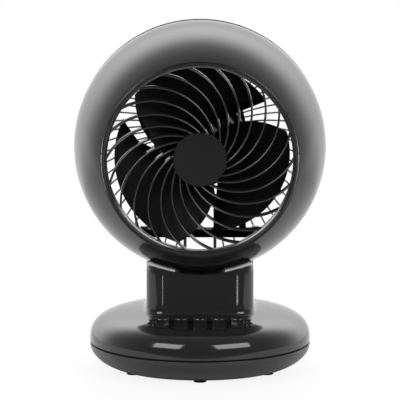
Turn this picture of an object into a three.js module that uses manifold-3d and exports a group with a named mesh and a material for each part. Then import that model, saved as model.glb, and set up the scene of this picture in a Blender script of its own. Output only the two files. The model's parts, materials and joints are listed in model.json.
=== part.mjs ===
// Desk air circulator: a ball-shaped fan head that tilts on a saddle and swings on a pedestal base.
// Millimetres, +Z up. The origin is on the floor under the base's axis, the front faces -Y.

import * as THREE from "three";
import { mergeVertices } from "three/addons/utils/BufferGeometryUtils.js";
import Module from "manifold-3d";

const wasm = await Module();
wasm.setup();

// ---- driving dimensions ----

const CLEAR = 0.3; // between pieces that touch on the real fan
const FLATNESS = 0.02; // cuts leave no needless facets finer than this
const PAST = 1; // how far a cut runs past what it cuts
const LARGE = 36; // facets round the shells and the base
const MEDIUM = 28; // facets round the hub and the swing motor
const SMALL = 20; // facets round the motor and other inner pieces
const FINE = 12; // facets round small posts and shafts
const LEAST = 8; // facets round screw shanks and their holes
const DEG = Math.PI / 180;

// Ball head, about its own centre: the fan's axis is Y
const HEAD_HEIGHT = 225; // ball's centre above the floor
const BALL_R = 126;
const SHELL_WALL = 2.5;
const SEAM_Y = 25; // parting plane of the two shells, behind the ball's centre
const SEAM_GAP = 0.6;
const REAR_CUT = 16; // what the flat back takes off the ball
const REAR_BLEND_R = 40; // rounds the ball into that flat

// Front grille
const OPENING_BAND = 27.5; // ball's radius less the opening's
const RIM_BACK = 12; // length of the rim's socket behind the opening's edge
const RING_WIDTH = 6;
const RING_STEP_IN = 3.3; // step in the ring's face, inside the opening's edge
const RING_STEP = 1.8;
const RING_TAPER = 0.6;
const RING_FALL = 0.8;
const RING_DEPTH = 15;
const RING_WALL = 2.5;
const FRONT_RECESS = 1; // ring's face behind the shell's edge
const VANES = 22;
const VANE_ARC_R = 62.5; // each vane is one arc in front view
const VANE_INNER_ANGLE = -10.5;
const VANE_OUTER_ANGLE = 65.5;
const VANE_FRONT_WIDTH = 1.3;
const VANE_BACK_WIDTH = 2.1;
const VANE_DEPTH = 8.5;
const VANE_SET_BACK = 2.8; // front edges behind the ring's face
const HUB_RING_R = 26.5;
const HUB_RING_WALL = 4.5;
const HUB_RING_DEPTH = 11;
const CAP_R = 27;
const CAP_RIM = 1.4;
const CAP_RISE = 0.8;
const CAP_THICK = 3;
const CAP_SPIGOT = 5;
const CAP_SPIGOT_WALL = 2;
const CAP_HOLLOW = 0.5;
const ROOT = 1.5; // how deep vanes and blades run into what carries them

// Impeller
const BLADES = 3;
const TIP_CLEAR = 2.5; // between the blades and the ring's inside
const TIP_DRAW_IN = 7; // the leading end of the tip is this much nearer the axis
const BLADE_SPAN = 104; // degrees that one blade covers
const BLADE_ROOT_ANGLE = 58.7; // trailing edge at the hub, front view
const BLADE_SWEEP = 0.68; // degrees that the edges lean back per millimetre of radius
const BLADE_GAP = 7.8; // between the vanes' backs and the blades
const BLADE_DEPTH = 33.5;
const BLADE_CAMBER = 3.5;
const BLADE_THICK = 2.2;
const HUB_R = 27.5;
const HUB_LEAD = 1.5; // in front of the blades
const HUB_TRAIL = 2; // behind the blades
const HUB_WALL = 2.6;
const HUB_EDGE = 6;
const HUB_BEVEL = 1.8;
const HUB_BOSS_R = 10;
const HUB_BOSS_SHORT = 6; // boss's end inside the hub's rear rim
const SHAFT_R = 4;
const SHAFT_LEAD = 5.5; // in front of the hub
const SHAFT_CLEAR = 1; // round the shaft where it leaves the motor
const NUT_R = 8;
const NUT_THICK = 4.5;

// Motor, held behind the impeller by a bracket
const MOTOR_R = 40;
const MOTOR_WALL = 2;
const MOTOR_GAP = 11; // between the hub and the motor's face
const MOTOR_SPLIT_BEFORE = 2; // motor's split, in front of the bracket's middle
const MOTOR_REAR_GAP = 10; // between the motor and the rear disc's face
const MOTOR_EDGE = 6;
const BEARING_R = 10.5;
const BEARING_LENGTH = 8.4;
const BEARING_BOSS = 9;
const STATOR_IN_FRONT = 27; // stator's ends inside the motor's
const STATOR_IN_BACK = 30;
const ROTOR_SHORTER = 2; // than the stator, at each end
const ROTOR_R = 19.5;
const STATOR_BORE_R = 20;
const BRACKET_BAND = 5.7;
const BRACKET_BEHIND = 7; // its middle, behind the shells' seam
const BRACKET_DEPTH = 14;
const BRACKET_RAISED = 25.5; // underside of the cross bar above the shell's lowest point
const BRACKET_BAR_THICK = 8;
const BRACKET_BAR_CLEAR = 2; // between the bar's corners and the shell
const BRACKET_LEG = 7;
const BRACKET_LEG_INSET = 1;
const BRACKET_SCREW_INSET = 4.5; // from the bar's ends
const BRACKET_SCREW_LENGTH = 11.5;
const BRACKET_PILOT = 5; // screw hole's depth in the grille's boss

// Rear grille
const RIBS = 60;
const RIB_WIDTH = 1.8;
const RIB_INSET = 0.45; // ribs lie this far under the ball's surface
const RIB_DEPTH = 2;
const RIM_Y = 40; // the ribs start here, behind a plain rim
const REAR_DISC_INSET = 4; // inside the edge of the flat back
const REAR_BOSS_R = 12;
const TONGUE_DEPTH = 7;
const TONGUE_WALL = 2.2;
const TONGUE_STEP = 4;
const RAIL_FROM = 5; // where the slot's rails start, degrees behind the lowest point
const RAIL_END = 4; // bar across the slot's end, degrees

// Tilt: the head slides round its own centre on the turret's saddle, clamped through a slot
const TILT_UP = 45;
const TILT_DOWN = 10;
const SLOT_HALF = 13.5;
const SLOT_RAIL = 7.5;
const STUB_HALF_DEPTH = 12;
const STUB_SIDE_CLEAR = 0.6;
const SLIDE_GAP = 1; // between the shells' inside and the clamp
const CLAMP_HALF_WIDTH = 20.5;
const CLAMP_HALF_DEPTH = 19;
const CLAMP_THICK = 4;
const CLAMP_SCREW_R = 3;
const CLAMP_HEAD_R = 7;
const CLAMP_HEAD_THICK = 3;
const CLAMP_WASHER_THICK = 1.2;
const CLAMP_NUT_R = 6.5;
const CLAMP_NUT_THICK = 5;
const CLAMP_SCREW_PROUD = 2; // screw's end past the nut

// Base and neck
const BASE_R = 110;
const BASE_SEAM_Z = 26.5;
const BASE_SEAM_GAP = 1;
const LIP_GAP = 0.8; // between the bottom's lip and the cover's inside
const LIP_WALL = 2.2;
const LIP_UP = 4;
const LIP_DOWN = 3;
const BASE_TOP_RISE = 34;
const BASE_TOP_POWER = [4.6, 2.9]; // superellipse powers across and up
const BASE_FALL = 30;
const BASE_FALL_POWER = [3.6, 2];
const BASE_WALL = 3;
const FOOT_PROUD = 3;
const NECK_HALF_WIDTH = 53.5;
const NECK_HALF_DEPTH = 50;
const NECK_CORNER_R = 18;
const NECK_WALL = 3;
const NECK_FILLET = 8;
const NECK_SINK = 1; // fillet's lower edge under the base's top
const DISH_GAP = 5; // between the ball and the neck's dished top
const DISH_WALL = 3;

// Turret
const TURRET_R = 25;
const TURRET_WALL = 4;
const TURRET_TOP_WALL = 8;
const SADDLE_RISE = 3; // turret's rim above the ball's surface before it is dished
const STUB_RISE = 4;
const SPIGOT_ROOM = 2; // above the spigot, inside the turret
const SPIGOT_R = 16;
const SPIGOT_WALL = 3;
const SPIGOT_HEIGHT = 30;
const JOURNAL_GAP = 0.4;
const THRUST_THICK = 2.4;
const FLANGE_R = 34;
const FLANGE_THICK = 2.7;

// Swing drive: a pinion on a slow motor turns the sector on the turret
const SWING = 35;
const GEAR_MODULE = 1.5;
const SECTOR_TEETH = 64; // counted on the full circle
const SECTOR_SPARE = 1.5; // pitches past the mesh at each end of the swing
const PINION_TEETH = 16;
const PRESSURE_ANGLE = 20;
const BACKLASH = 0.3;
const GEAR_THICK = 6;
const ADDENDUM = 0.9; // in modules, as the next three
const DEDENDUM = 1.2;
const FLANK_LOW = 0.4;
const FLANK_HIGH = 0.3;
const PINION_OVERLAP = 0.5;
const PINION_SHAFT_R = 3;
const PINION_SHAFT_REACH = 7.7; // into the swing motor
const SWING_MOTOR_R = 25;
const SWING_MOTOR_HEIGHT = 18;
const SWING_EAR_HALF = 37;
const SWING_EAR_DEPTH = 12;
const SWING_EAR_THICK = 1.7;
const SWING_SCREW_X = 31;
const SWING_POST_R = 5;
const SWING_MOTOR_Z = 25;

// Keys
const KEYS = ["off", "low", "medium", "high", "swing"];
const KEY_PITCH = 18.75;
const KEY_WIDTH = 13.3;
const KEY_REAR_Y = -62;
const KEY_DISH = 1.3;
const KEY_BOTTOM_Z = 44.3;
const KEY_SIDE_CLEAR = 0.35;
const BANK_REAR_Z = 60.2; // key tops at their rear edge
const BANK_SLOPE = 0.125;
const BANK_FRONT_R = 91.5;
const BANK_HALF = 54;
const BANK_CHEEK = 9.3;
const BANK_DEPTH = 3.5; // floor between the keys below their tops
const SWITCH_HALF = 46;
const SWITCH_DEPTH = 20;
const SWITCH_TOP = 40;
const SWITCH_HEIGHT = 18;
const SWITCH_EAR = 7;
const SWITCH_EAR_THICK = 1.6;
const SWITCH_BEFORE = 3; // in front of the keys' rear ends
const SWITCH_POST = [4, 8]; // across X and Y
const BANK_LAP = 4; // key bank runs this far into the neck
const BANK_FRONT_WALL = 8;
const BANK_SIDE_WALL = 3;
const KEY_CROWN = 0.4; // key tops above the bank

// Other pieces in the base
const FEET = 6;
const FOOT_R = 6.5;
const FOOT_INSET = 33; // circle of the feet inside the base's rim
const FOOT_PEG_R = 3;
const BALLAST_INSET = 31;
const BALLAST_WIDTH = 28;
const BALLAST_THICK = 8;
const BALLAST_ANGLES = [212, 328];
const CASE_SCREW_INSET = 36;
const CASE_SCREW_ANGLES = [20, 160, 200, 340];
const CASE_HEAD_THICK = 1.4;
const CASE_BOSS_R = 5;
const SCREW_R = 2;
const SCREW_HEAD_R = 4;
const SCREW_HEAD_THICK = 2.6;
const SWING_SCREW_LENGTH = 11;
const CASE_SCREW_LENGTH = 16;
const CAPACITOR = [16, 34, 26];
const CAPACITOR_INSET = 42;
const BUSH_R = 6;
const BUSH_BORE_R = 3.5;
const BUSH_FLANGE_R = 7.5;
const BUSH_Z = 18;
const BUSH_INSET = 1;
const BUSH_LENGTH = 22;
const BUSH_FLANGE = 3;

// ---- worked out from the above ----

const INNER_R = BALL_R - SHELL_WALL;
const OPENING_R = BALL_R - OPENING_BAND;
const OPENING_Y = -Math.sqrt(BALL_R ** 2 - OPENING_R ** 2);
const RING_INNER_R = OPENING_R - RING_WIDTH;
const RING_STEP_R = OPENING_R - RING_STEP_IN;
const RING_FACE_Y = OPENING_Y + FRONT_RECESS;
const TIP_R = RING_INNER_R - TIP_CLEAR;
const BLADE_FRONT = RING_FACE_Y + VANE_SET_BACK + VANE_DEPTH + BLADE_GAP;
const BLADE_BACK = BLADE_FRONT + BLADE_DEPTH;
const HUB_FRONT = BLADE_FRONT - HUB_LEAD;
const HUB_BACK = BLADE_BACK + HUB_TRAIL;
const SHAFT_FRONT = HUB_FRONT - SHAFT_LEAD;
const REAR_Y = BALL_R - REAR_CUT;
const REAR_BLEND_Y = REAR_Y - REAR_BLEND_R;
const REAR_FLAT_R = Math.sqrt((BALL_R - REAR_BLEND_R) ** 2 - REAR_BLEND_Y ** 2);
const REAR_DISC_R = REAR_FLAT_R - REAR_DISC_INSET;
const MOTOR_FRONT = HUB_BACK + MOTOR_GAP;
const MOTOR_BACK = REAR_Y - MOTOR_REAR_GAP;
const STATOR_FRONT = MOTOR_FRONT + STATOR_IN_FRONT;
const STATOR_BACK = MOTOR_BACK - STATOR_IN_BACK;
const BRACKET_Y = SEAM_Y + BRACKET_BEHIND;
const MOTOR_SPLIT = BRACKET_Y - MOTOR_SPLIT_BEFORE;
const BRACKET_BAR_BELOW = INNER_R - BRACKET_RAISED;
const BRACKET_CORNER = Math.hypot(BRACKET_BAR_BELOW, BRACKET_Y + BRACKET_DEPTH / 2);
const BRACKET_BAR_HALF = Math.sqrt((INNER_R - BRACKET_BAR_CLEAR) ** 2 - BRACKET_CORNER ** 2);
const BRACKET_SCREW_X = BRACKET_BAR_HALF - BRACKET_SCREW_INSET;
const FOOT_CIRCLE_R = BASE_R - FOOT_INSET;
const CASE_SCREW_CIRCLE_R = BASE_R - CASE_SCREW_INSET;
const BALLAST_OUTER_R = BASE_R - BALLAST_INSET;
const BALLAST_INNER_R = BALLAST_OUTER_R - BALLAST_WIDTH;
const BUSH_OUTER_Y = BASE_R - BUSH_INSET;
const FLOOR_Z = FOOT_PROUD + BASE_WALL;
const TURRET_BOTTOM_Z = FLOOR_Z + THRUST_THICK + 2 * CLEAR;
const GEAR_Z = TURRET_BOTTOM_Z + FLANGE_THICK + CLEAR;
const PINION_Y = (GEAR_MODULE * (SECTOR_TEETH + PINION_TEETH)) / 2;
const SECTOR_TEETH_CUT = 2 * Math.ceil((SWING / 360) * SECTOR_TEETH + SECTOR_SPARE) + 1;
const STUB_ANGLE = Math.asin(STUB_HALF_DEPTH / INNER_R) / DEG + 1;
const SLOT_FROM = -TILT_DOWN - STUB_ANGLE; // degrees behind the ball's lowest point
const SLOT_TO = TILT_UP + STUB_ANGLE;
const BALL_BOTTOM_Z = HEAD_HEIGHT - BALL_R;
const TURRET_ROOF_Z = BALL_BOTTOM_Z - TURRET_TOP_WALL;

const lerp = (a, b, t) => a + (b - a) * t;
const polar = (r, angle) => [r * Math.cos(angle * DEG), r * Math.sin(angle * DEG)];
const steps = (n) => Array.from({ length: n + 1 }, (_, i) => i / n);

// ---- solids from three.js geometry ----

// A closed geometry as a solid with its faces turned out.
function solid(geometry) {
  const bare = geometry.clone();
  bare.deleteAttribute("normal");
  bare.deleteAttribute("uv");
  const merged = mergeVertices(bare, 1e-4);
  const vertProperties = merged.attributes.position.array;
  const triVerts = [];
  for (let i = 0; i < merged.index.count; i += 3) {
    const [a, b, c] = merged.index.array.slice(i, i + 3);
    if (a !== b && b !== c && c !== a) triVerts.push(a, b, c);
  }
  const make = (tris) => {
    const mesh = new wasm.Mesh({ numProp: 3, vertProperties, triVerts: new Uint32Array(tris) });
    return new wasm.Manifold(mesh);
  };
  const made = make(triVerts);
  return made.volume() > 0 ? made : make(triVerts.reverse());
}

function geometryOf(shape) {
  const mesh = shape.getMesh();
  const geometry = new THREE.BufferGeometry();
  geometry.setAttribute("position", new THREE.BufferAttribute(mesh.vertProperties, 3));
  geometry.setIndex(new THREE.BufferAttribute(mesh.triVerts, 1));
  geometry.computeVertexNormals();
  return geometry;
}

const joined = (...shapes) => wasm.Manifold.union(shapes.flat());

// Revolves [radius, y] points round the fan's axis Y; closes the profile on itself.
function revolve(points, segments) {
  const profile = [...points, points[0]].map(([r, y]) => new THREE.Vector2(r, y));
  return new THREE.LatheGeometry(profile, segments);
}

const round = (points, segments = LARGE) => solid(revolve(points, segments));
// The same round the vertical axis, from [radius, z] points.
const upright = (points, segments = LARGE) => solid(revolve(points, segments).rotateX(Math.PI / 2));

// Upright cylinder at (x, y) from z0 to z1.
function post(r, x, y, z0, z1, sides = 16) {
  const geometry = new THREE.CylinderGeometry(r, r, z1 - z0, sides);
  return solid(geometry.rotateX(Math.PI / 2).translate(x, y, (z0 + z1) / 2));
}

function block(x0, x1, y0, y1, z0, z1) {
  const geometry = new THREE.BoxGeometry(x1 - x0, y1 - y0, z1 - z0);
  return solid(geometry.translate((x0 + x1) / 2, (y0 + y1) / 2, (z0 + z1) / 2));
}

// A plan outline pushed up from z0 to z1.
function prism(shape, z0, z1, curveSegments = 12) {
  const geometry = new THREE.ExtrudeGeometry(shape, { depth: z1 - z0, bevelEnabled: false, curveSegments });
  return solid(geometry.translate(0, 0, z0));
}

// Skin through rings of equal point count, closed by flat ends.
function loft(rings) {
  const n = rings[0].length;
  const end = (rings.length - 1) * n;
  const index = [];
  for (let i = 0; i < end; i += n)
    for (let j = 0; j < n; j++) {
      const k = (j + 1) % n;
      index.push(i + j, i + k, i + n + j, i + k, i + n + k, i + n + j);
    }
  for (let j = 1; j + 1 < n; j++) index.push(0, j + 1, j, end, end + j, end + j + 1);
  return solid(indexed(rings.flat(), index));
}

function indexed(points, index) {
  const geometry = new THREE.BufferGeometry();
  geometry.setAttribute("position", new THREE.Float32BufferAttribute(points.flat(), 3));
  geometry.setIndex(index);
  return geometry;
}

// A thin wall of rows x columns cells between two faces, each a function of (u, v) from 0 to 1.
function sheet(rows, columns, near, far) {
  const at = (side, i, j) => (side * (rows + 1) + i) * (columns + 1) + j;
  const grid = (face) => steps(rows).flatMap((u) => steps(columns).map((v) => face(u, v)));
  const points = [...grid(near), ...grid(far)];
  const index = [];
  const quad = (a, b, c, d) => index.push(a, b, c, a, c, d);
  for (let i = 0; i < rows; i++)
    for (let j = 0; j < columns; j++) {
      quad(at(0, i, j), at(0, i, j + 1), at(0, i + 1, j + 1), at(0, i + 1, j));
      quad(at(1, i, j), at(1, i + 1, j), at(1, i + 1, j + 1), at(1, i, j + 1));
    }
  for (let i = 0; i < rows; i++) {
    quad(at(0, i, 0), at(0, i + 1, 0), at(1, i + 1, 0), at(1, i, 0));
    quad(at(0, i, columns), at(1, i, columns), at(1, i + 1, columns), at(0, i + 1, columns));
  }
  for (let j = 0; j < columns; j++) {
    quad(at(0, 0, j), at(1, 0, j), at(1, 0, j + 1), at(0, 0, j + 1));
    quad(at(0, rows, j), at(0, rows, j + 1), at(1, rows, j + 1), at(1, rows, j));
  }
  return solid(indexed(points, index));
}

// Points [radius, along] on an arc about [centre radius, centre along], from one latitude to another.
const arc = (r, from, to, n, [cr, cy] = [0, 0]) =>
  steps(n).map((t) => {
    const [x, y] = polar(r, lerp(from, to, t));
    return [cr + x, cy + y];
  });

// ---- materials ----

const plastic = (color, roughness) => new THREE.MeshStandardMaterial({ color, roughness, metalness: 0 });
const metal = (color, roughness) => new THREE.MeshStandardMaterial({ color, roughness, metalness: 1 });
const GLOSS_BLACK = plastic(0x0c0c0d, 0.12);
const SATIN_BLACK = plastic(0x1a1a1b, 0.35);
const MATT_BLACK = plastic(0x141414, 0.5);
const GREY_PLASTIC = plastic(0x6a6c6e, 0.5);
const WHITE_PLASTIC = plastic(0xd8d6cf, 0.4);
const RUBBER = plastic(0x1c1c1c, 0.9);
const STEEL = metal(0xb4b6b8, 0.35);
const DARK_STEEL = metal(0x55575a, 0.5);
const BRONZE = metal(0x9a7a4a, 0.4);

// ---- assembly groups, one in another as the pieces carry each other ----

const fan = new THREE.Group();
const turretGroup = new THREE.Group();
const headGroup = new THREE.Group();
const impellerGroup = new THREE.Group();
headGroup.position.z = HEAD_HEIGHT;
fan.add(turretGroup);
turretGroup.add(headGroup);
headGroup.add(impellerGroup);

function place(group, name, shape, material) {
  const mesh = new THREE.Mesh(geometryOf(shape.simplify(FLATNESS)), material);
  mesh.name = name;
  group.add(mesh);
  return mesh;
}

// ---- ball head ----

// Solid ball under the head's centre, used to cut or trim what meets the shells.
function ballCutter(r, centreZ = 0) {
  const lowest = arc(r, -90, -30, 9);
  return upright([...lowest.map(([x, z]) => [x, z + centreZ]), [0, centreZ]]);
}

// Wedge of the ball round X, from one angle to another behind the lowest point.
function tiltSector(half, innerR, outerR, from, to) {
  const shape = new THREE.Shape();
  shape.absarc(0, 0, outerR, (from - 90) * DEG, (to - 90) * DEG, false);
  shape.absarc(0, 0, innerR, (to - 90) * DEG, (from - 90) * DEG, true);
  const settings = { depth: 2 * half, bevelEnabled: false, curveSegments: 12 };
  const geometry = new THREE.ExtrudeGeometry(shape, settings);
  return solid(geometry.translate(0, 0, -half).rotateY(Math.PI / 2).rotateX(Math.PI / 2));
}

const tiltSlot = () => tiltSector(SLOT_HALF, INNER_R / 2, BALL_R + PAST, SLOT_FROM, SLOT_TO);

function frontShell() {
  const edge = Math.acos(OPENING_R / BALL_R) / DEG;
  const seam = Math.asin((SEAM_Y - SEAM_GAP / 2) / BALL_R) / DEG;
  const innerSeam = Math.asin((SEAM_Y - SEAM_GAP / 2) / INNER_R) / DEG;
  const socketR = OPENING_R + SHELL_WALL;
  const innerEdge = Math.acos(socketR / INNER_R) / DEG;
  const profile = [
    ...arc(BALL_R, -edge, 0, 4),
    ...arc(BALL_R, 0, seam, 1).slice(1),
    ...arc(INNER_R, innerSeam, -innerEdge, 5),
    [socketR, OPENING_Y + RIM_BACK],
    [OPENING_R, OPENING_Y + RIM_BACK],
  ];
  return round(profile).subtract(tiltSlot());
}

// The arc that one vane follows in front view, as a function of 0 to 1 from hub to ring.
function vaneArc() {
  const [x0, z0] = polar(HUB_RING_R - ROOT, VANE_INNER_ANGLE);
  const [x1, z1] = polar(RING_INNER_R + RING_WALL / 2, VANE_OUTER_ANGLE);
  const half = Math.hypot(x1 - x0, z1 - z0) / 2;
  const rise = Math.sqrt(VANE_ARC_R ** 2 - half ** 2) / (2 * half);
  const centre = [(x0 + x1) / 2 - (z1 - z0) * rise, (z0 + z1) / 2 + (x1 - x0) * rise];
  const from = Math.atan2(z0 - centre[1], x0 - centre[0]) / DEG;
  const to = Math.atan2(z1 - centre[1], x1 - centre[0]) / DEG;
  return { centre, from, to };
}

function vane() {
  const { centre, from, to } = vaneArc();
  const front = RING_FACE_Y + VANE_SET_BACK;
  const side = (sign) => (u, v) => {
    const r = VANE_ARC_R + (sign * lerp(VANE_FRONT_WIDTH, VANE_BACK_WIDTH, v)) / 2;
    const [x, z] = polar(r, lerp(from, to, u));
    return [centre[0] + x, front + VANE_DEPTH * v, centre[1] + z];
  };
  return sheet(6, 1, side(1), side(-1));
}

function frontGrille() {
  const outer = OPENING_R - CLEAR;
  const face = RING_FACE_Y;
  const ring = round([
    [outer, face],
    [RING_STEP_R, face],
    [RING_STEP_R - RING_TAPER, face + RING_STEP],
    [RING_INNER_R, face + RING_STEP + RING_FALL],
    [RING_INNER_R + RING_TAPER, face + RING_DEPTH],
    [RING_INNER_R + RING_WALL, face + RING_DEPTH],
    [RING_INNER_R + RING_WALL, OPENING_Y + RIM_BACK],
    [outer, OPENING_Y + RIM_BACK],
  ]);
  const hubFace = face + VANE_SET_BACK;
  const hubRing = round(
    [
      [HUB_RING_R - HUB_RING_WALL, hubFace],
      [HUB_RING_R, hubFace],
      [HUB_RING_R, hubFace + HUB_RING_DEPTH],
      [HUB_RING_R - HUB_RING_WALL, hubFace + HUB_RING_DEPTH],
    ],
    MEDIUM,
  );
  const one = vane();
  const vanes = Array.from({ length: VANES }, (_, i) => one.rotate([0, (360 * i) / VANES, 0]));
  return joined(ring, hubRing, vanes);
}

function hubCap() {
  const back = RING_FACE_Y + VANE_SET_BACK - CLEAR;
  const front = back - CAP_THICK;
  const spigot = HUB_RING_R - HUB_RING_WALL - CLEAR;
  return round(
    [
      [0, front + CAP_RISE],
      [CAP_R - CAP_RIM - CAP_RISE, front + CAP_RISE],
      [CAP_R - CAP_RIM, front],
      [CAP_R - CAP_RISE / 2, front],
      [CAP_R, front + CAP_RISE],
      [CAP_R, back],
      [spigot, back],
      [spigot, back + CAP_SPIGOT],
      [spigot - CAP_SPIGOT_WALL, back + CAP_SPIGOT],
      [spigot - CAP_SPIGOT_WALL, back - CAP_HOLLOW],
      [0, back - CAP_HOLLOW],
    ],
    MEDIUM,
  );
}

// Rear surface from the seam to the axis: ball, blend, flat; inset by a wall.
function rearProfile(inset, ballSteps, blendSteps, fromY = SEAM_Y + SEAM_GAP / 2) {
  const tangent = Math.atan2(REAR_BLEND_Y, REAR_FLAT_R) / DEG;
  const seam = Math.asin(fromY / (BALL_R - inset)) / DEG;
  const blend = arc(REAR_BLEND_R - inset, tangent, 90, blendSteps, [REAR_FLAT_R, REAR_BLEND_Y]);
  return [...arc(BALL_R - inset, seam, tangent, ballSteps), ...blend.slice(1), [0, REAR_Y - inset]];
}

function bracketBosses() {
  const top = -BRACKET_BAR_BELOW - CLEAR;
  const posts = [-1, 1].map((side) => {
    const x = side * BRACKET_SCREW_X;
    const pilot = post(SCREW_R + CLEAR, x, BRACKET_Y, top - BRACKET_PILOT, top + PAST, LEAST);
    return post(CASE_BOSS_R, x, BRACKET_Y, -BALL_R, top, FINE).subtract(pilot);
  });
  return joined(posts).intersect(ballCutter(INNER_R + SHELL_WALL / 2));
}

// One rib: a three-sided bar that follows the rear surface from inside the rim to the disc.
function rearRib() {
  const outer = rearProfile(RIB_INSET, 3, 1, RIM_Y - ROOT).slice(0, -1);
  const inner = rearProfile(RIB_INSET + RIB_DEPTH, 3, 1, RIM_Y - ROOT).slice(0, -1);
  outer.push([REAR_DISC_R - ROOT, REAR_Y - RIB_INSET]);
  inner.push([REAR_DISC_R - ROOT, REAR_Y - RIB_INSET - RIB_DEPTH]);
  const half = RIB_WIDTH / 2;
  return loft(outer.map(([r, y], i) => [[r, y, -half], [r, y, half], [inner[i][0], inner[i][1], 0]]));
}

function rearRim() {
  const tongueR = Math.sqrt(INNER_R ** 2 - SEAM_Y ** 2) - CLEAR;
  const seamY = SEAM_Y + SEAM_GAP / 2;
  const onBall = (r, y) => [Math.sqrt(r ** 2 - y ** 2), y];
  return round([
    onBall(BALL_R, seamY),
    onBall(BALL_R, (seamY + RIM_Y) / 2),
    onBall(BALL_R, RIM_Y),
    onBall(INNER_R, RIM_Y),
    onBall(INNER_R, (seamY + RIM_Y) / 2),
    [tongueR - TONGUE_WALL, seamY + TONGUE_STEP],
    [tongueR - TONGUE_WALL, SEAM_Y - TONGUE_DEPTH],
    [tongueR, SEAM_Y - TONGUE_DEPTH],
    [tongueR, seamY],
  ]);
}

// Rails on both sides of the tilt slot, and the bar across its end.
function tiltRails() {
  const half = SLOT_HALF + SLOT_RAIL;
  const band = tiltSector(half, INNER_R / 2, BALL_R + PAST, RAIL_FROM, SLOT_TO + RAIL_END);
  const shell = ballCutter(BALL_R).subtract(ballCutter(INNER_R));
  const front = block(-BALL_R, BALL_R, -BALL_R, SEAM_Y + SEAM_GAP / 2, -BALL_R - PAST, 0);
  return band.intersect(shell).subtract(front);
}

function rearGrille() {
  const disc = round([
    [0, REAR_Y],
    [REAR_DISC_R, REAR_Y],
    [REAR_DISC_R, REAR_Y - SHELL_WALL],
    [REAR_BOSS_R, REAR_Y - SHELL_WALL],
    [REAR_BOSS_R, MOTOR_BACK + CLEAR],
    [0, MOTOR_BACK + CLEAR],
  ]);
  const rib = rearRib();
  const ribs = Array.from({ length: RIBS }, (_, i) => rib.rotate([0, (360 * i) / RIBS, 0]));
  const pathHalf = CLAMP_HALF_WIDTH + 2 * SLIDE_GAP;
  const pathEnd = SLOT_TO + RAIL_END - 1;
  const clampPath = tiltSector(pathHalf, INNER_R / 2, INNER_R - CLEAR / 2, -TILT_DOWN, pathEnd);
  const frame = joined(ribs, rearRim(), bracketBosses()).subtract(clampPath);
  return joined(frame, disc, tiltRails()).subtract(tiltSlot());
}

function motorFrontCase() {
  const bossR = BEARING_R + CLEAR + MOTOR_WALL;
  const bossFront = MOTOR_FRONT - BEARING_BOSS;
  const inner = MOTOR_R - MOTOR_WALL;
  return round(
    [
      [SHAFT_R + SHAFT_CLEAR, bossFront],
      [bossR, bossFront],
      [bossR, MOTOR_FRONT],
      [MOTOR_R - MOTOR_EDGE, MOTOR_FRONT],
      [MOTOR_R, MOTOR_FRONT + MOTOR_EDGE],
      [MOTOR_R, MOTOR_SPLIT - CLEAR / 2],
      [inner, MOTOR_SPLIT - CLEAR / 2],
      [inner, MOTOR_FRONT + MOTOR_EDGE],
      [MOTOR_R - MOTOR_EDGE - MOTOR_WALL / 2, MOTOR_FRONT + MOTOR_WALL],
      [BEARING_R + CLEAR, MOTOR_FRONT + MOTOR_WALL],
      [BEARING_R + CLEAR, bossFront + MOTOR_WALL],
      [SHAFT_R + SHAFT_CLEAR, bossFront + MOTOR_WALL],
    ],
    SMALL,
  );
}

function motorRearCase() {
  const inner = MOTOR_R - MOTOR_WALL;
  const floor = MOTOR_BACK - MOTOR_WALL;
  const bossR = BEARING_R + CLEAR + MOTOR_WALL;
  return round(
    [
      [0, MOTOR_BACK],
      [MOTOR_R - MOTOR_EDGE, MOTOR_BACK],
      [MOTOR_R, MOTOR_BACK - MOTOR_EDGE],
      [MOTOR_R, MOTOR_SPLIT + CLEAR / 2],
      [inner, MOTOR_SPLIT + CLEAR / 2],
      [inner, MOTOR_BACK - MOTOR_EDGE],
      [MOTOR_R - MOTOR_EDGE - MOTOR_WALL / 2, floor],
      [bossR, floor],
      [bossR, floor - BEARING_LENGTH - CLEAR],
      [BEARING_R + CLEAR, floor - BEARING_LENGTH - CLEAR],
      [BEARING_R + CLEAR, floor],
      [0, floor],
    ],
    SMALL,
  );
}

function tube(innerR, outerR, front, back, segments = SMALL) {
  return round([[innerR, front], [outerR, front], [outerR, back], [innerR, back]], segments);
}

function motorBracket() {
  const innerR = MOTOR_R + CLEAR;
  const outerR = innerR + BRACKET_BAND;
  const [y0, y1] = [BRACKET_Y - BRACKET_DEPTH / 2, BRACKET_Y + BRACKET_DEPTH / 2];
  const barTop = -BRACKET_BAR_BELOW + BRACKET_BAR_THICK;
  const legs = [-1, 1].map((side) => {
    const edges = [side * outerR, side * (outerR - BRACKET_LEG)].sort((a, b) => a - b);
    const inset = BRACKET_LEG_INSET;
    return block(edges[0], edges[1], y0 + inset, y1 - inset, barTop - inset, 0);
  });
  const bar = block(-BRACKET_BAR_HALF, BRACKET_BAR_HALF, y0, y1, -BRACKET_BAR_BELOW, barTop);
  const bore = tube(0, innerR, y0 - PAST, y1 + PAST, LARGE);
  const holes = [-1, 1].map((side) => {
    const x = side * BRACKET_SCREW_X;
    return post(SCREW_R + CLEAR, x, BRACKET_Y, -BRACKET_BAR_BELOW - PAST, barTop + PAST, LEAST);
  });
  return joined(tube(innerR - PAST, outerR, y0, y1, LARGE), legs, bar).subtract(joined(bore, holes));
}

// Screw standing on zHead, its shank reaching down.
function screw(x, y, zHead, length, headR = SCREW_HEAD_R, shankR = SCREW_R, headThick = SCREW_HEAD_THICK) {
  const head = post(headR, x, y, zHead, zHead + headThick, FINE);
  return head.add(post(shankR, x, y, zHead - length, zHead + headThick / 2, LEAST));
}

// ---- impeller ----

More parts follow.
